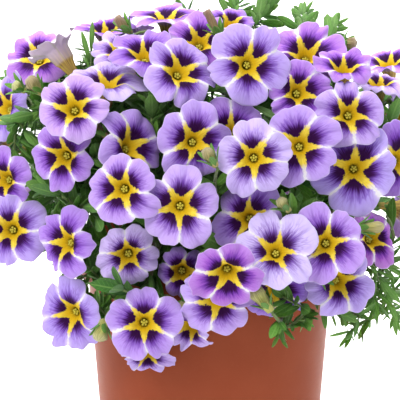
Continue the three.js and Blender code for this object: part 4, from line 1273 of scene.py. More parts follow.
PETAL_PINK = linear(190, 88, 190)
PETAL_BLUE = linear(140, 128, 232)
PETAL_FADED = linear(236, 214, 230)
PETAL_LIGHT = linear(226, 216, 250)
PETAL_RIM = linear(232, 222, 250)
PETAL_BACK = linear(150, 134, 176)
BACK_RIB = linear(190, 190, 160)
STAR_FOOT = linear(216, 178, 20)
STAR_TIP = linear(238, 234, 242)
STAR_VEIN = linear(196, 150, 30)
STAR_HALO = linear(232, 222, 248)
THROAT_GREEN = linear(150, 142, 32)
THROAT_YELLOW = linear(220, 182, 28)
THROAT_STRIPE = linear(110, 70, 30)
TUBE_OCHRE = linear(200, 168, 88)
TUBE_STRIPE = linear(104, 62, 58)
TUBE_FOOT = linear(126, 140, 66)
LEAF_YELLOW = linear(138, 158, 56)
LEAF_CLOUD = linear(48, 84, 36)
LEAF_RIB = linear(136, 178, 92)
# The colour of painted shade at the roots of the leaves, where they crowd at the stem
LEAF_ROOT_SHADE = linear(30, 58, 24)
LEAF_UNDER = linear(110, 146, 84)
STEM_BROWN = linear(104, 84, 52)
STEM_GREEN = linear(106, 138, 62)
STEM_CLOUD = linear(70, 86, 40)
BUD_FRESH = linear(204, 206, 104)
BUD_SPENT = linear(176, 142, 96)
BUD_TIP_FRESH = linear(226, 222, 170)
BUD_TIP_SPENT = linear(158, 118, 112)
BUD_STRIPE_FRESH = linear(120, 134, 56)
BUD_STRIPE_SPENT = linear(98, 66, 54)
POLLEN = linear(222, 206, 70)
STIGMA_GREEN = linear(170, 170, 60)
POT_DARK = linear(142, 66, 42)
POT_LIGHT = linear(174, 98, 68)
POT_DUST = linear(196, 160, 136)
PEAT_DARK = linear(28, 20, 15)
PEAT_BROWN = linear(66, 48, 34)
PEAT_FIBRE = linear(104, 82, 58)
PEAT_CRUMB = linear(86, 64, 44)


def new_material(name, **constants):
    """A material with a Principled shader whose plain numbers are set on its own sockets. Returns it, its
    nodes and the shader's inputs."""
    material = bpy.data.materials.new(name)
    material.use_nodes = True
    shader = material.node_tree.nodes["Principled BSDF"].inputs
    for key, value in constants.items():
        shader[key.replace("_", " ")].default_value = value
    return material, Nodes(material.node_tree), shader


def petal_material(looks):
    """Petals: lilac to violet by each bloom's tone, with a dark feathered eye in each lobe, a yellow star
    whose arms pale into white lines at the notches, fine veins, pale rims, a greenish throat, and dull
    backs that run into an ochre tube with dark stripes. Out from the mouth, q is the share of the way to
    the rim, and fold is 1 at an arm and 0 midway between two."""
    material, nodes, shader = new_material(
        "petal", Roughness=0.65, Specular_IOR_Level=0.1, Subsurface_Weight=0.08, Subsurface_Scale=0.0015,
        Subsurface_Radius=(0.8, 0.5, 1.0))
    mix, rise = nodes.mix, nodes.rise
    across, along = nodes.map()
    tone, warm = nodes.attribute("tone"), nodes.attribute("warm")
    q = (along - MOUTH_MARK) / (RIM_MARK - MOUTH_MARK)
    fold = abs(nodes.fraction(across * float(ARMS)) - 0.5) * 2.0

    base = mix(tone, opaque(looks.petal_pale), opaque(looks.petal_violet))
    base = mix(nodes.share(warm, 0.6), base, PETAL_PINK)
    base = mix(nodes.share(warm, -0.7), base, PETAL_BLUE)
    faded = nodes.share(tone, -0.85)
    base = mix(faded, base, PETAL_FADED)
    deep = mix(0.7, base, opaque(looks.petal_deep))
    light = mix(0.4, base, PETAL_LIGHT)

    limb = mix(rise(nodes.mottle(4.0), 0.35, 0.7, 0.25), base, light)
    limb = mix(rise(q, 0.5, 1.0, 0.45), limb, light)
    vein = nodes.veins(across, along, 75.0, 3.0, 0.09) * rise(q, 1.1, 0.2, 0.9)
    limb = mix(vein, limb, deep)
    limb = mix((1.0 - rise(fold, 0.0, 0.11)) * rise(q, 1.1, 0.4, 0.8), limb, deep)

    feather = nodes.noise(nodes.vector(across * 120.0, along * 2.5), 1.0, 3.0) - 0.5
    kind = nodes.fraction(tone * 13.7 + warm * 7.1)
    flame = q + fold ** 3.0 * 0.16 + feather * 0.4 - (tone * 0.06 + kind * 0.08)
    limb = mix(rise(flame, 0.66, 0.28, 0.85), limb, opaque(looks.petal_deep))
    limb = mix(rise(flame, 0.45, 0.2, 0.99), limb, opaque(looks.petal_eye))

    distance = (1.0 - fold) * (q * 8.6 + 1.6)
    torn = feather * rise(q, 0.7, 0.1, 2.2) + (nodes.mottle(1.3) - 0.5) * 2.0
    reach = nodes.math("MAXIMUM", 1.25 - q * 1.9, 0.0) + rise(q, 0.14, 0.02, 1.3) + (kind * 0.3 + 0.2)
    star = rise(distance + torn - reach, 0.3, -0.15)
    gold = mix(rise(q, 0.0, 0.3), STAR_FOOT, opaque(looks.star))
    gold = mix(rise(q, 0.38, 0.66), gold, STAR_TIP)
    gold = mix(vein * 0.4, gold, STAR_VEIN)
    limb = mix(rise(distance, 2.2, 0.4, 0.6) * rise(q, 0.5, 0.85), limb, STAR_HALO)
    limb = mix(star, limb, gold)
    limb = mix(rise(q, 0.965, 1.0, 0.4), limb, PETAL_RIM)

    stripe = nodes.veins(across, along, 40.0, 1.0, 0.12)
    ring = mix(rise(along, 0.05, 0.2), THROAT_GREEN, THROAT_YELLOW)
    ring = mix(stripe * 0.4, ring, THROAT_STRIPE)
    front = mix(rise(along, 0.17, 0.22), ring, limb)

    back = mix((1.0 - faded) * 0.5, base, PETAL_BACK)
    back = mix(vein * 0.9, back, deep)
    back = mix(rise(fold, 0.72, 0.98) * 0.5, back, BACK_RIB)
    back = mix(rise(along, 1.32, 1.5), back, mix(stripe * 0.85, TUBE_OCHRE, TUBE_STRIPE))
    back = mix(rise(along, 1.8, 1.95), back, TUBE_FOOT)

    relief = vein * -1.0 + nodes.mottle(0.5) * 0.5 + feather
    nodes.dress(shader, mix(rise(along, RIM_MARK, RIM_MARK + 0.01), front, back), relief, 0.4, 0.0004)
    return material


def leaf_material(looks):
    """Leaves: from dark to young green by each leaf's tone, with a pale midrib, side veins, painted shade
    darkening each leaf towards its root, paler undersides and a soft sheen from their hairs."""
    material, nodes, shader = new_material(
        "leaf", Roughness=0.5, Specular_IOR_Level=0.4, Subsurface_Weight=0.08, Subsurface_Scale=0.0015,
        Subsurface_Radius=(0.4, 1.0, 0.2), Sheen_Weight=0.06)
    mix, rise = nodes.mix, nodes.rise
    across, along = nodes.map()
    base = mix(nodes.attribute("tone"), opaque(looks.leaf_dark), opaque(looks.leaf_young))
    base = mix(nodes.share(nodes.attribute("warm"), 0.3), base, LEAF_YELLOW)
    base = mix(rise(nodes.mottle(3.0), 0.3, 0.75, 0.4), base, LEAF_CLOUD)
    aside = abs(nodes.fraction(across * 2.0) - 0.5) * 2.0
    slant = abs(nodes.fraction(along * 9.0 - aside * 2.2) - 0.5)
    rib = nodes.math("MAXIMUM", rise(aside, 0.12, 0.02, 0.75), rise(slant, 0.12, 0.0, 0.35))
    base = mix(rib * 0.7, base, LEAF_RIB)
    # Painted shade: each leaf darkens towards its root, where the leaves crowd at the stem
    base = mix(rise(along, 0.4, 0.0, 0.55), base, LEAF_ROOT_SHADE)
    base = mix(rise(across, 0.5, 0.52) * 0.3, base, LEAF_UNDER)
    nodes.dress(shader, base, rib * -1.2 + nodes.mottle(0.4), 0.5, 0.0003)
    return material


def stem_material(looks):
    """Stems: green with brown streaks and a hairy sheen."""
    material, nodes, shader = new_material("stem", Roughness=0.6, Sheen_Weight=0.35, Sheen_Roughness=0.5)
    base = nodes.mix(nodes.attribute("tone"), STEM_BROWN, STEM_GREEN)
    base = nodes.mix(nodes.rise(nodes.mottle(2.5), 0.35, 0.7, 0.45), base, STEM_CLOUD)
    nodes.dress(shader, base, nodes.mottle(0.35), 0.6, 0.0003)
    return material


def bud_material(looks):
    """Buds and spent tubes: green-yellow to papery brown by tone, with stripes along them."""
    material, nodes, shader = new_material("bud", Roughness=0.65, Sheen_Weight=0.3, Sheen_Roughness=0.5)
    across, along = nodes.map()
    tone = nodes.attribute("tone")
    base = nodes.mix(tone, BUD_FRESH, BUD_SPENT)
    base = nodes.mix(nodes.rise(along, 0.55, 0.95, 0.6), base, nodes.mix(tone, BUD_TIP_FRESH, BUD_TIP_SPENT))
    stripe = nodes.veins(across, along, 26.0, 1.2, 0.1)
    base = nodes.mix(stripe * 0.5, base, nodes.mix(tone, BUD_STRIPE_FRESH, BUD_STRIPE_SPENT))
    nodes.dress(shader, base, nodes.mottle(0.6) + stripe, 0.6, 0.0004)
    return material


def anther_material(looks):
    """Anthers and stigma: grainy yellow-green."""
    material, nodes, shader = new_material("anther", Roughness=0.7)
    grain = nodes.mottle(0.3)
    nodes.dress(shader, nodes.mix(grain, POLLEN, STIGMA_GREEN), grain, 0.5, 0.0002)
    return material


def pot_material(looks):
    """Moulded plastic in terracotta: faint mottling, fine scuffs, chalky dust low down and soft gloss."""
    material, nodes, shader = new_material("pot_plastic", IOR=1.35, Specular_IOR_Level=0.08)
    cloud, fine = nodes.mottle(18.0), nodes.mottle(1.2)
    base = nodes.mix(nodes.rise(cloud, 0.3, 0.7, 0.3), opaque(looks.pot_colour), POT_DARK)
    base = nodes.mix(nodes.rise(fine, 0.55, 0.8, 0.18), base, POT_LIGHT)
    place = nodes.object_place()
    low_down = nodes.rise(nodes.parts(place)[2], 0.03, 0.0, 0.35)
    base = nodes.mix(low_down * cloud, base, POT_DUST)
    streaks = nodes.wire("ShaderNodeMapping", {"Vector": place, "Scale": (1.0, 1.0, 14.0)})
    scuff = nodes.noise(streaks, 90.0, 3.0, 0.6)
    nodes.feed(shader, {"Roughness": scuff * 0.16 + 0.34})
    nodes.dress(shader, base, fine + scuff, 0.12, 0.0002)
    return material


def peat_material(looks):
    """Dark peat: brown to near black, with paler fibres and crumbs."""
    material, nodes, shader = new_material("peat", Roughness=0.95)
    coarse, fine = nodes.mottle(3.0), nodes.mottle(0.8)
    base = nodes.mix(coarse, PEAT_DARK, PEAT_BROWN)
    base = nodes.mix(nodes.rise(fine, 0.6, 0.85, 0.5), base, PEAT_FIBRE)
    base = nodes.mix(nodes.attribute("tone") * 0.5, base, PEAT_CRUMB)
    nodes.dress(shader, base, coarse + fine, 0.9, 0.0012)
    return material


def paper_material(looks):
    """The stage's paper: a pale tone with the faintest mottling."""
    material, nodes, shader = new_material("studio_paper", Roughness=0.9)
    darker = opaque(0.97 * part for part in looks.paper)
    grain = nodes.noise(nodes.object_place(), 6.0)
    nodes.feed(shader, {"Base Color": nodes.mix(grain, opaque(looks.paper), darker)})
    return material


MATERIALS = {
    "petal": petal_material,
    "leaf": leaf_material,
    "stem": stem_material,
    "bud": bud_material,
    "anther": anther_material,
    "pot_plastic": pot_material,
    "peat": peat_material,
    "studio_paper": paper_material,
}


def finishes(looks, *names):
    """The materials of a piece's slots, each made the first time it is asked for."""
    return [shared(name, MATERIALS[name], looks) for name in names]


def read_plant():
    """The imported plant, read once."""
    return shared("plant", Plant)


# Pieces

def eased(profile, ease, steps=4):
    """A profile with its corners rounded: each corner becomes a parabola between two points near it."""
    profile = np.asarray(profile, float)
    points = [profile[:1]]
    t = np.linspace(0, 1, steps + 1)[:, None]
    for before, corner, after in zip(profile, profile[1:], profile[2:]):
        legs = (before - corner, after - corner)
        starts = [corner + leg * min(ease / np.linalg.norm(leg), EASE_MOST) for leg in legs]
        points.append((1 - t) ** 2 * starts[0] + 2 * t * (1 - t) * corner + t ** 2 * starts[1])
    return np.vstack(points + [profile[-1:]])


def inner_radius(z):
    """The inside radius of the pot at a height above its floor, as in the part's source."""
    foot = POT_HEIGHT - COLLAR_HEIGHT
    if z < foot:
        return BASE_RADIUS + (BODY_TOP_RADIUS - BASE_RADIUS) * z / foot - WALL
    return COLLAR_FOOT_RADIUS + (RIM_RADIUS - COLLAR_FOOT_RADIUS) * (z - foot) / COLLAR_HEIGHT - WALL


def pot_piece(looks):
    """The pot: one profile of its wall and floor turned about its axis, with its corners rounded and six
    drain holes cut through the raised channel."""
    foot, floor = POT_HEIGHT - COLLAR_HEIGHT, BASE_THICKNESS
    profile = (
        (CHANNEL_INNER, 0), (CHANNEL_INNER + CHANNEL_SLOPE, CHANNEL_RISE),
        (CHANNEL_OUTER - CHANNEL_SLOPE, CHANNEL_RISE), (CHANNEL_OUTER, 0), (BASE_RADIUS, 0),
        (BODY_TOP_RADIUS, foot - COLLAR_STEP), (COLLAR_FOOT_RADIUS, foot),
        (RIM_RADIUS, POT_HEIGHT), (RIM_RADIUS - WALL, POT_HEIGHT),
        (inner_radius(foot), foot), (inner_radius(foot - COLLAR_STEP), foot - COLLAR_STEP),
        (inner_radius(floor), floor), (CHANNEL_OUTER + WALL, floor),
        (CHANNEL_OUTER + WALL - CHANNEL_SLOPE, floor + CHANNEL_RISE),
        (CHANNEL_INNER - WALL + CHANNEL_SLOPE, floor + CHANNEL_RISE), (CHANNEL_INNER - WALL, floor),
    )
    rings = turned(eased(profile, looks.pot_ease / MM), looks.pot_sides)
    pile = Pile()
    ends = np.array(((0, 0, 0), (0, 0, floor)), float)
    pile.add(ends[:1], rings[None], ends[1:], np.linspace(0, 1, len(rings) + 2), 0)
    materials = finishes(looks, "pot_plastic")
    piece = pile.piece("pot_shell", materials)
    cutter = Pile()
    below, above = CUTTER_SPAN
    hole = turned(((DRAIN_RADIUS, below), (DRAIN_RADIUS, above)), DRAIN_SIDES)
    middles = circle((CHANNEL_INNER + CHANNEL_OUTER) / 2, around(DRAIN_HOLES), 0)
    walls = hole[None] + middles[:, None, None]
    cutter.add(middles + (0, 0, below), walls, middles + (0, 0, above), np.zeros(4), 0)
    holes = cutter.piece("pot_holes", materials)
    cut = piece.modifiers.new("holes", "BOOLEAN")
    cut.object = holes
    cut.operation = "DIFFERENCE"
    cut.solver = "EXACT"
    drilled = bpy.data.meshes.new_from_object(piece.evaluated_get(bpy.context.evaluated_depsgraph_get()))
    piece.modifiers.clear()
    piece.data = drilled
    bpy.data.objects.remove(holes)
    finish_piece(piece, "pot")


def soil_piece(looks):
    """The soil: a turned profile whose top is raised and sunk by waves of several lengths, with crumbs."""
    rng = np.random.default_rng(SOIL_SEED)
    floor = BASE_THICKNESS + CHANNEL_RISE + CLEARANCE
    foot = POT_HEIGHT - COLLAR_HEIGHT
    edge = inner_radius(SOIL_EDGE_Z) - CLEARANCE
    out = np.linspace(1, SOIL_MIDDLE, SOIL_RINGS)
    top = np.stack((edge * out, SOIL_EDGE_Z + SOIL_MOUND * (1 - out ** 2)), 1)
    wall = (
        (inner_radius(floor) - CLEARANCE, floor),
        (inner_radius(foot - COLLAR_STEP) - CLEARANCE, foot - COLLAR_STEP),
        (inner_radius(foot) - CLEARANCE, foot),
    )
    rings = turned(np.vstack((wall, top)), SOIL_SIDES)
    lumps = np.zeros(rings.shape[:2])
    for wave, height in SOIL_WAVES:
        for way in rng.uniform(0, 2 * math.pi, SOIL_WAYS):
            reach = rings[..., 0] * math.cos(way) + rings[..., 1] * math.sin(way)
            lumps += height * np.sin(wave * reach + rng.uniform(*PHASES)) / SOIL_WAYS
    fade = np.concatenate((np.zeros(len(wall)), np.clip((1 - out) * SOIL_FADE, 0, 1)))[:, None]
    rings[..., 2] += (lumps + rng.uniform(-SOIL_GRAIN, SOIL_GRAIN, lumps.shape)) * fade
    pile = Pile()
    ends = np.array(((0, 0, floor), (0, 0, SOIL_EDGE_Z + SOIL_MOUND)))
    pile.add(ends[:1], rings[None], ends[1:], np.linspace(0, 1, len(rings) + 2), 0)
    crumbs = looks.soil_crumbs
    turn, share = rng.uniform(0, 2 * math.pi, crumbs), np.sqrt(rng.uniform(*CRUMB_SHARES, crumbs))
    height = SOIL_EDGE_Z + SOIL_MOUND * (1 - share ** 2) + CRUMB_LIFT
    middles = circle(edge * share, turn, height)
    add_beads(pile, middles, rng.uniform(*CRUMB_RADII, crumbs), 0, rng.uniform(0, 1, crumbs))
    finish_piece(pile.piece("soil_top", finishes(looks, "peat")), "soil")


def bloom_pieces(looks):
    """The blooms of the photograph, one piece each."""
    materials = finishes(looks, "petal", "anther")
    for number, bloom in enumerate(read_plant().blooms):
        pile = Pile()
        add_bloom(pile, bloom, looks.bloom_columns, looks.bloom_rows, BLOOM_SEED + number)
        name = "petals_" + bloom["node"].removeprefix("bloom_")
        finish_piece(pile.piece(name, materials), bloom["node"])


def far_bloom_pieces(looks):
    """The far side's blooms, one piece for each shoot that carries some."""
    plant, materials = read_plant(), finishes(looks, "petal", "anther")
    columns, rows = looks.bloom_columns // 2, looks.bloom_rows // 2
    for shoot in plant.shoots:
        own = [(number, bloom) for number, bloom in enumerate(plant.far) if bloom["shoot"] is shoot]
        if not own:
            continue
        pile = Pile()
        for number, bloom in own:
            add_bloom(pile, bloom, columns, rows, FAR_BLOOM_SEED + number)
        finish_piece(pile.piece("far_petals_" + shoot.node[-1], materials), shoot.node)


def is_free(plant, places):
    """Which places, given as leaves by points along each, keep clear of every bloom, of the pot and of
    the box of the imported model. A place is refused in front of a bloom's face or near its tube, and where
    it would hide a part of a face that the photograph shows."""
    low, high = (np.array(corner) / MM for corner in CAD_BOX)
    free = np.all((places > low - BOX_MARGIN) & (places < high + BOX_MARGIN), axis=(1, 2))
    out, z = np.linalg.norm(places[..., :2], axis=2), places[..., 2]
    in_zone = out <= POT_ZONE
    free &= ~np.any((out < RIM_RADIUS + POT_MARGIN) & (z < POT_HEIGHT + POT_MARGIN) & ~in_zone, axis=1)
    free &= ~np.any(in_zone & (z < SOIL_EDGE_Z + SOIL_MARGIN), axis=1)
    for bloom in plant.blooms + plant.far:
        off = places - bloom["origin"]
        height = off @ bloom["normal"]
        reach = np.linalg.norm(off - height[..., None] * bloom["normal"], axis=2)
        rise = (reach / bloom["radius"]) ** 2 * bloom["cup"]
        ahead = (reach < bloom["radius"] + FACE_MARGIN) & (height > rise - FACE_BACK) & (height < FACE_AHEAD)
        tube = (reach < TUBE_MARGIN + TUBE_FLARE * height) & (height > TUBE_FROM) & (height <= TUBE_TO)
        free &= ~np.any(ahead | tube, axis=1)
        slope = bloom["normal"] @ NEARER
        if "node" in bloom and slope > SHOWN_SLOPE:
            along = off @ NEARER
            line = off - along[..., None] * NEARER
            height = -(line @ bloom["normal"]) / slope
            shown = np.linalg.norm(line + height[..., None] * NEARER, axis=2)
            free &= ~np.any((shown < SHOWN_SHARE * bloom["radius"]) & (along > height), axis=1)
    return free


def fine_path(kind, path):
    """A stem's path as it is drawn: that of a branch is smoothed."""
    return smooth_path(path, BRANCH_STEPS) if kind == "branch" else path


def extra_leaves(plant, looks):
    """Leaves along every stem, each turned on from the last by the golden angle and leaning out from the
    stem. A place bears so many at most, of the turns tried there. Returns for each leaf its shoot, root,
    way, side, length, width and youth."""
    rng = np.random.default_rng(EXTRA_SEED)
    spacing = looks.leaf_spacing / MM
    found = []
    for shoot, kind, path, leaf in plant.stems:
        fine = fine_path(kind, path)
        steps = np.linalg.norm(np.diff(fine, axis=0), axis=1)
        reach = np.concatenate(((0,), np.cumsum(steps)))
        stop = reach[-1] - (BARE_STALK_END if kind == "stalk" else 0)
        marks = np.arange(BARE_STARTS[kind], stop, spacing)
        count = len(marks)
        if not count:
            continue
        places, ahead = (
            np.stack([np.interp(marks + step, reach, fine[:, k]) for k in range(3)], 1) for step in (0, 0.5))
        along = ahead - places
        along /= np.maximum(np.linalg.norm(along, axis=1, keepdims=True), 1e-6)
        first = unit_rows(np.cross(along, FIRST_AXIS))
        second = np.cross(along, first)
        grown = np.zeros(count, int)
        for pair in range(looks.leaves_at_node * LEAF_TRIES):
            turn = GOLDEN_TURN * np.arange(count) + pair * TRY_TURN
            turn = turn + rng.uniform(-TURN_SPREAD, TURN_SPREAD, count)
            out = spokes(turn, first, second)
            lean = rng.uniform(*EXTRA_LEANS, count)
            way = spokes(lean, out, along)
            side = np.cross(along, out)
            if leaf:
                length, width = (rng.uniform(*EXTRA_SHARES, count) * size for size in leaf)
            else:
                short = np.where(places[:, 2] < SHORT_BELOW, SHORT_SHARE, 1)
                length = rng.uniform(*EXTRA_LENGTHS, count) * short
                width = length * rng.uniform(*EXTRA_BREADTHS, count)
            youth = EXTRA_YOUTH_LEAST + EXTRA_YOUTH_GAIN * marks / reach[-1]
            youth = np.clip(youth + rng.uniform(*EXTRA_YOUTHS, count), 0, 1)
            sample = np.linspace(0.1, 1, 5)[None, :, None]
            spots = places[:, None] + way[:, None] * (length[:, None, None] * sample)
            free = is_free(plant, spots) & (grown < looks.leaves_at_node)
            grown += free
            rows = zip(places[free], way[free], side[free], length[free], width[free], youth[free])
            found.extend((shoot,) + row for row in rows)
    return found


def add_sepals(pile, end, normal, slot, sepal):
    """Adds a calyx of five narrow sepals at an end, which open round the tube from its foot. A sepal has
    a length, a width and a youth."""
    length, width, youth = sepal
    out = spokes(around(ARMS, 0.5), *across_normal(normal))
    root = end - normal * SEPAL_SINK + out * SEPAL_RING
    way = unit_rows(out * SEPAL_SPREAD + normal * SEPAL_REACH)
    side = np.cross(normal, out)
    length, width = np.full(ARMS, length), np.full(ARMS, width)
    form = (SEPAL_STATIONS, SEPAL_CURVE, SEPAL_KEEL)
    add_leaves(pile, root, way, side, length, width, slot, youth, 0.0, *form)


def add_bud(pile, foot, tip, thickness, spent, slot, rng):
    """Adds a bud or spent tube: a narrow stalk end that swells, narrows and swells again to its furled
    tip, with five soft ridges that twist along it. A spent one sags and crumples."""
    share = np.linspace(*BUD_ENDS, BUD_STATIONS)
    fresh = 1 - BUD_WITHERING * spent
    head = BUD_HEAD * np.exp(-((share - BUD_HEAD_PLACE) / BUD_HEAD_SPAN) ** 2)
    swell = BUD_TUBE + fresh * (BUD_BELLY * np.sin(math.pi * share) + head)
    closing = np.clip((1.04 - share) * (5 + 9 * spent), 0, 1) ** 0.6
    swell = swell * (1 - BUD_FOOT_LOSS * spent * (1 - share)) * closing
    turn = around(BUD_SIDES)
    axis = unit(tip - foot)
    x, y = across_normal(axis)
    reach = np.linalg.norm(tip - foot)
    twist = turn[None] + share[:, None] * (BUD_TWIST[0] + BUD_TWIST[1] * spent)
    ridge = 1 + (BUD_RIDGE[0] + BUD_RIDGE[1] * spent) * np.cos(ARMS * turn)[None]
    crumple = 1 + BUD_CRUMPLE * spent * np.sin(3 * twist + 9 * share[:, None])
    radius = thickness * swell[:, None] * ridge * crumple
    sag = -BUD_SAG * spent * reach * np.sin(math.pi * share)
    middle = foot + np.outer(share * reach, axis) + np.outer(sag, (0, 0, 1.0))
    rings = middle[:, None] + radius[..., None] * spokes(twist, x, y)
    tone = spent + rng.uniform(-BUD_TONE_SPREAD, BUD_TONE_SPREAD)
    pile.add(foot[None], rings[None], tip[None], np.linspace(0, 1, len(share) + 2), slot, tone)


def add_rows(pile, shoot, rows, rng, warmths, curves=None, **given):
    """Adds the leaves of one shoot out of rows of shoot, root, way, side, length, width and youth. Their
    warmths are drawn from a range, and so are their curves where a range is given."""
    own = [row[1:] for row in rows if row[0] is shoot]
    if own:
        root, way, side, length, width, youth = (np.array(column) for column in zip(*own))
        if curves:
            given["curve"] = rng.uniform(*curves, len(own))
        warm = rng.uniform(*warmths, len(own))
        add_leaves(pile, root, way, side, length, width, 1, youth, warm, **given)


def shoot_pieces(looks):
    """The shoots, one piece each: stems, stalks, calyces, leaves and buds."""
    plant, materials = read_plant(), finishes(looks, "stem", "leaf", "bud")
    more = extra_leaves(plant, looks)
    rng = np.random.default_rng(FOLIAGE_SEED)
    for shoot in plant.shoots:
        pile = Pile()
        for owner, kind, path, _ in plant.stems:
            if owner is shoot:
                add_stem(pile, fine_path(kind, path), *STEM_LOOKS[kind])
        for owner, end, normal in plant.calyces:
            if owner is shoot:
                add_sepals(pile, end, normal, 1, BLOOM_CALYX)
        add_rows(pile, shoot, plant.leaves, rng, LEAF_WARMTHS)
        add_rows(pile, shoot, more, rng, EXTRA_WARMTHS, EXTRA_CURVES, stations=EXTRA_STATIONS)
        for owner, foot, tip, thickness, spent in plant.buds:
            if owner is shoot:
                add_bud(pile, foot, tip, thickness, spent, 2, rng)
                add_sepals(pile, foot, unit(tip - foot), 1, BUD_CALYX)
        finish_piece(pile.piece("foliage_" + shoot.node[-1], materials), shoot.node)


# Stage, whose places and sizes are in metres

# The floor's paper: how far it runs in front of the axis and behind, how round it bends up, how high it
# goes, and half its width
PAPER_FRONT = -1.2
PAPER_BACK = 1.1
PAPER_BEND = 0.5
PAPER_TOP = 2.4
PAPER_HALF_WIDTH = 2.4

# The lights: name, place, aim, size, power as a share of the key light's, and colour
LIGHTS = (
    ("key_light", (-0.62, -1.05, 1.25), (0, 0, 0.12), 0.9, 1.0, (1.0, 0.98, 0.95)),
    ("fill_light", (1.1, -0.9, 0.7), (0, 0, 0.12), 1.2, 0.13, (0.95, 0.97, 1.0)),
    ("top_light", (0.0, 0.25, 1.6), (0, 0, 0.12), 1.0, 0.3, (1, 1, 1)),
    ("backdrop_light", (0.0, 0.35, 1.0), (0, 1.5, 0.35), 1.2, 2.2, (1, 1, 1)),
)
SKY_COLOUR = (0.93, 0.95, 1.0, 1)
SENSOR_WIDTH = 36


def add_area(name, place, aim, size, power, colour):
    """A soft square light at a place, turned to what it lights."""
    light = bpy.data.lights.new(name, "AREA")
    light.size = size
    light.energy = power
    light.color = colour
    lamp = bpy.data.objects.new(name, light)
    lamp.location = place
    lamp.rotation_euler = (Vector(aim) - Vector(place)).to_track_quat("-Z", "Y").to_euler()
    bpy.context.scene.collection.objects.link(lamp)


def add_sweep(looks):
    """A pale floor that bends up behind the pot in a quarter circle: a profile carried across."""
    bends = np.linspace(0.1, math.pi / 2, 12)
    profile = [(PAPER_FRONT, 0.0), (PAPER_BACK, 0.0)]
    profile += [(PAPER_BACK + PAPER_BEND * math.sin(a), PAPER_BEND - PAPER_BEND * math.cos(a)) for a in bends]
    profile.append((PAPER_BACK + PAPER_BEND, PAPER_TOP))
    depth, height = np.array(profile).T
    width = np.linspace(-PAPER_HALF_WIDTH, PAPER_HALF_WIDTH, 3)
    places = np.stack(np.broadcast_arrays(width[:, None], depth, height), 2).reshape(-1, 3)
    count = len(profile)
    row, col = np.meshgrid(np.arange(2), np.arange(count - 1), indexing="ij")
    corner = (row * count + col).ravel()
    faces = np.stack((corner, corner + count, corner + count + 1, corner + 1), 1)
    mesh = bpy.data.meshes.new("studio_sweep")
    mesh.from_pydata(places.tolist(), [], faces.tolist())
    mesh.polygons.foreach_set("use_smooth", np.ones(len(faces), bool))
    for material in finishes(looks, "studio_paper"):
        mesh.materials.append(material)
    sweep = bpy.data.objects.new("studio_sweep", mesh)
    bpy.context.scene.collection.objects.link(sweep)


def build_stage(looks):
    """The floor, soft lights, an even sky and the camera of the photograph."""
    scene = bpy.context.scene
    add_sweep(looks)
    for name, place, aim, size, power, colour in LIGHTS:
        add_area(name, place, aim, size, power * looks.key_power, colour)
    scene.world = bpy.data.worlds.new("studio")
    scene.world.use_nodes = True
    sky = scene.world.node_tree.nodes["Background"].inputs
    sky["Color"].default_value = SKY_COLOUR
    sky["Strength"].default_value = looks.world_strength
    scene.view_settings.view_transform = "Standard"

    camera = bpy.data.cameras.new("camera")
    camera.sensor_width = SENSOR_WIDTH
    camera.lens = SENSOR_WIDTH * CAMERA_DISTANCE / (2 * FRAME_MIDDLE * PIXEL)
    holder = bpy.data.objects.new("camera", camera)
    place = Matrix.Translation(Vector((FRAME_CENTRE + NEARER * CAMERA_DISTANCE) * MM))
    holder.matrix_world = place @ Vector(NEARER).to_track_quat("Z", "Y").to_matrix().to_4x4()
    scene.collection.objects.link(holder)
    scene.camera = holder


# The add-on

def colour_property(name, description, red, green, blue):
    """A colour that a user can change, given as a screen colour from 0 to 255."""
    return FloatVectorProperty(
        name=name, description=description, subtype="COLOR", size=3, min=0, max=1,
        default=linear(red, green, blue)[:3])


class PlantLooks(PropertyGroup):
    """The colours and sizes of the looks."""
    petal_pale: colour_property("Pale petal", "Colour of the palest blooms", 210, 190, 250)
    petal_violet: colour_property("Violet petal", "Colour of the deepest blooms", 158, 102, 218)
    petal_deep: colour_property("Petal veins", "Colour of veins and of the shade round the eye", 98, 36, 160)
    petal_eye: colour_property("Petal eye", "Colour of the dark eye in each lobe", 46, 3, 58)
    star: colour_property("Star", "Colour of the five arms of the star", 242, 214, 72)
    leaf_dark: colour_property("Old leaf", "Green of the oldest leaves", 54, 104, 42)
    leaf_young: colour_property("Young leaf", "Green of the youngest leaves", 108, 168, 54)
    pot_colour: colour_property("Pot", "Colour of the pot's plastic", 156, 78, 52)
    paper: colour_property("Paper", "Colour of the stage's paper", 250, 250, 249)
    bloom_columns: IntProperty(name="Bloom columns", description="Columns round a bloom", default=90, min=20)
    bloom_rows: IntProperty(
        name="Bloom rows", description="Rows from the rim to the mouth", default=22, min=8)
    leaf_spacing: FloatProperty(
        name="Leaf spacing", description="Distance along a stem from one place for extra leaves to the next",
        default=EXTRA_SPACING * MM, unit="LENGTH")
    leaves_at_node: IntProperty(
        name="Leaves at a place", description="How many extra leaves a place bears at most", default=3, min=1)
    pot_sides: IntProperty(name="Pot sides", description="Flat sides round the pot", default=144, min=24)
    pot_ease: FloatProperty(
        name="Pot edges", description="How far the pot's corners are rounded", default=0.0009, unit="LENGTH")
    soil_crumbs: IntProperty(name="Crumbs", description="Loose crumbs on the soil", default=320, min=0)
    key_power: FloatProperty(
        name="Key light", description="Power of the main light", default=19.0, min=0, unit="POWER")
    world_strength: FloatProperty(
        name="Sky", description="Strength of the even light all round", default=0.45, min=0)


class BuildPot(Operator):
    """Build the pot"""
    bl_idname = "calibrachoa.pot"
    bl_label = "Pot"

    def execute(self, context):
        pot_piece(context.scene.plant_looks)
        return {"FINISHED"}


class BuildSoil(Operator):
    """Build the soil"""
    bl_idname = "calibrachoa.soil"
    bl_label = "Soil"

    def execute(self, context):
        soil_piece(context.scene.plant_looks)
        return {"FINISHED"}


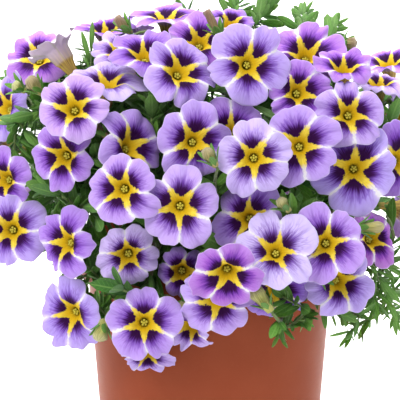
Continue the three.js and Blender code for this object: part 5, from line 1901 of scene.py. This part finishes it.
class BuildBlooms(Operator):
    """Build the blooms that the photograph shows"""
    bl_idname = "calibrachoa.blooms"
    bl_label = "Blooms"

    def execute(self, context):
        bloom_pieces(context.scene.plant_looks)
        return {"FINISHED"}


class BuildFarBlooms(Operator):
    """Build the blooms of the far side"""
    bl_idname = "calibrachoa.far_blooms"
    bl_label = "Far blooms"

    def execute(self, context):
        far_bloom_pieces(context.scene.plant_looks)
        return {"FINISHED"}


class BuildShoots(Operator):
    """Build the stems, calyces, leaves and buds of each shoot"""
    bl_idname = "calibrachoa.shoots"
    bl_label = "Shoots"

    def execute(self, context):
        shoot_pieces(context.scene.plant_looks)
        return {"FINISHED"}


class BuildStage(Operator):
    """Build the floor, the lights and the camera"""
    bl_idname = "calibrachoa.stage"
    bl_label = "Stage"

    def execute(self, context):
        build_stage(context.scene.plant_looks)
        return {"FINISHED"}


STEPS = (BuildPot, BuildSoil, BuildBlooms, BuildFarBlooms, BuildShoots, BuildStage)


class PlantPanel(Panel):
    """The looks and the steps in the sidebar"""
    bl_idname = "VIEW3D_PT_calibrachoa"
    bl_label = "Calibrachoa"
    bl_space_type = "VIEW_3D"
    bl_region_type = "UI"
    bl_category = "Calibrachoa"

    def draw(self, context):
        looks = context.scene.plant_looks
        for name in PlantLooks.__annotations__:
            self.layout.prop(looks, name)
        for step in STEPS:
            self.layout.operator(step.bl_idname)


CLASSES = (PlantLooks,) + STEPS + (PlantPanel,)


def register():
    for cls in CLASSES:
        bpy.utils.register_class(cls)
    bpy.types.Scene.plant_looks = PointerProperty(type=PlantLooks)


def unregister():
    del bpy.types.Scene.plant_looks
    for cls in reversed(CLASSES):
        bpy.utils.unregister_class(cls)


def main():
    """Builds every piece and the stage."""
    register()
    bpy.ops.calibrachoa.pot()
    bpy.ops.calibrachoa.soil()
    bpy.ops.calibrachoa.blooms()
    bpy.ops.calibrachoa.far_blooms()
    bpy.ops.calibrachoa.shoots()
    bpy.ops.calibrachoa.stage()


if __name__ == "__main__":
    main()
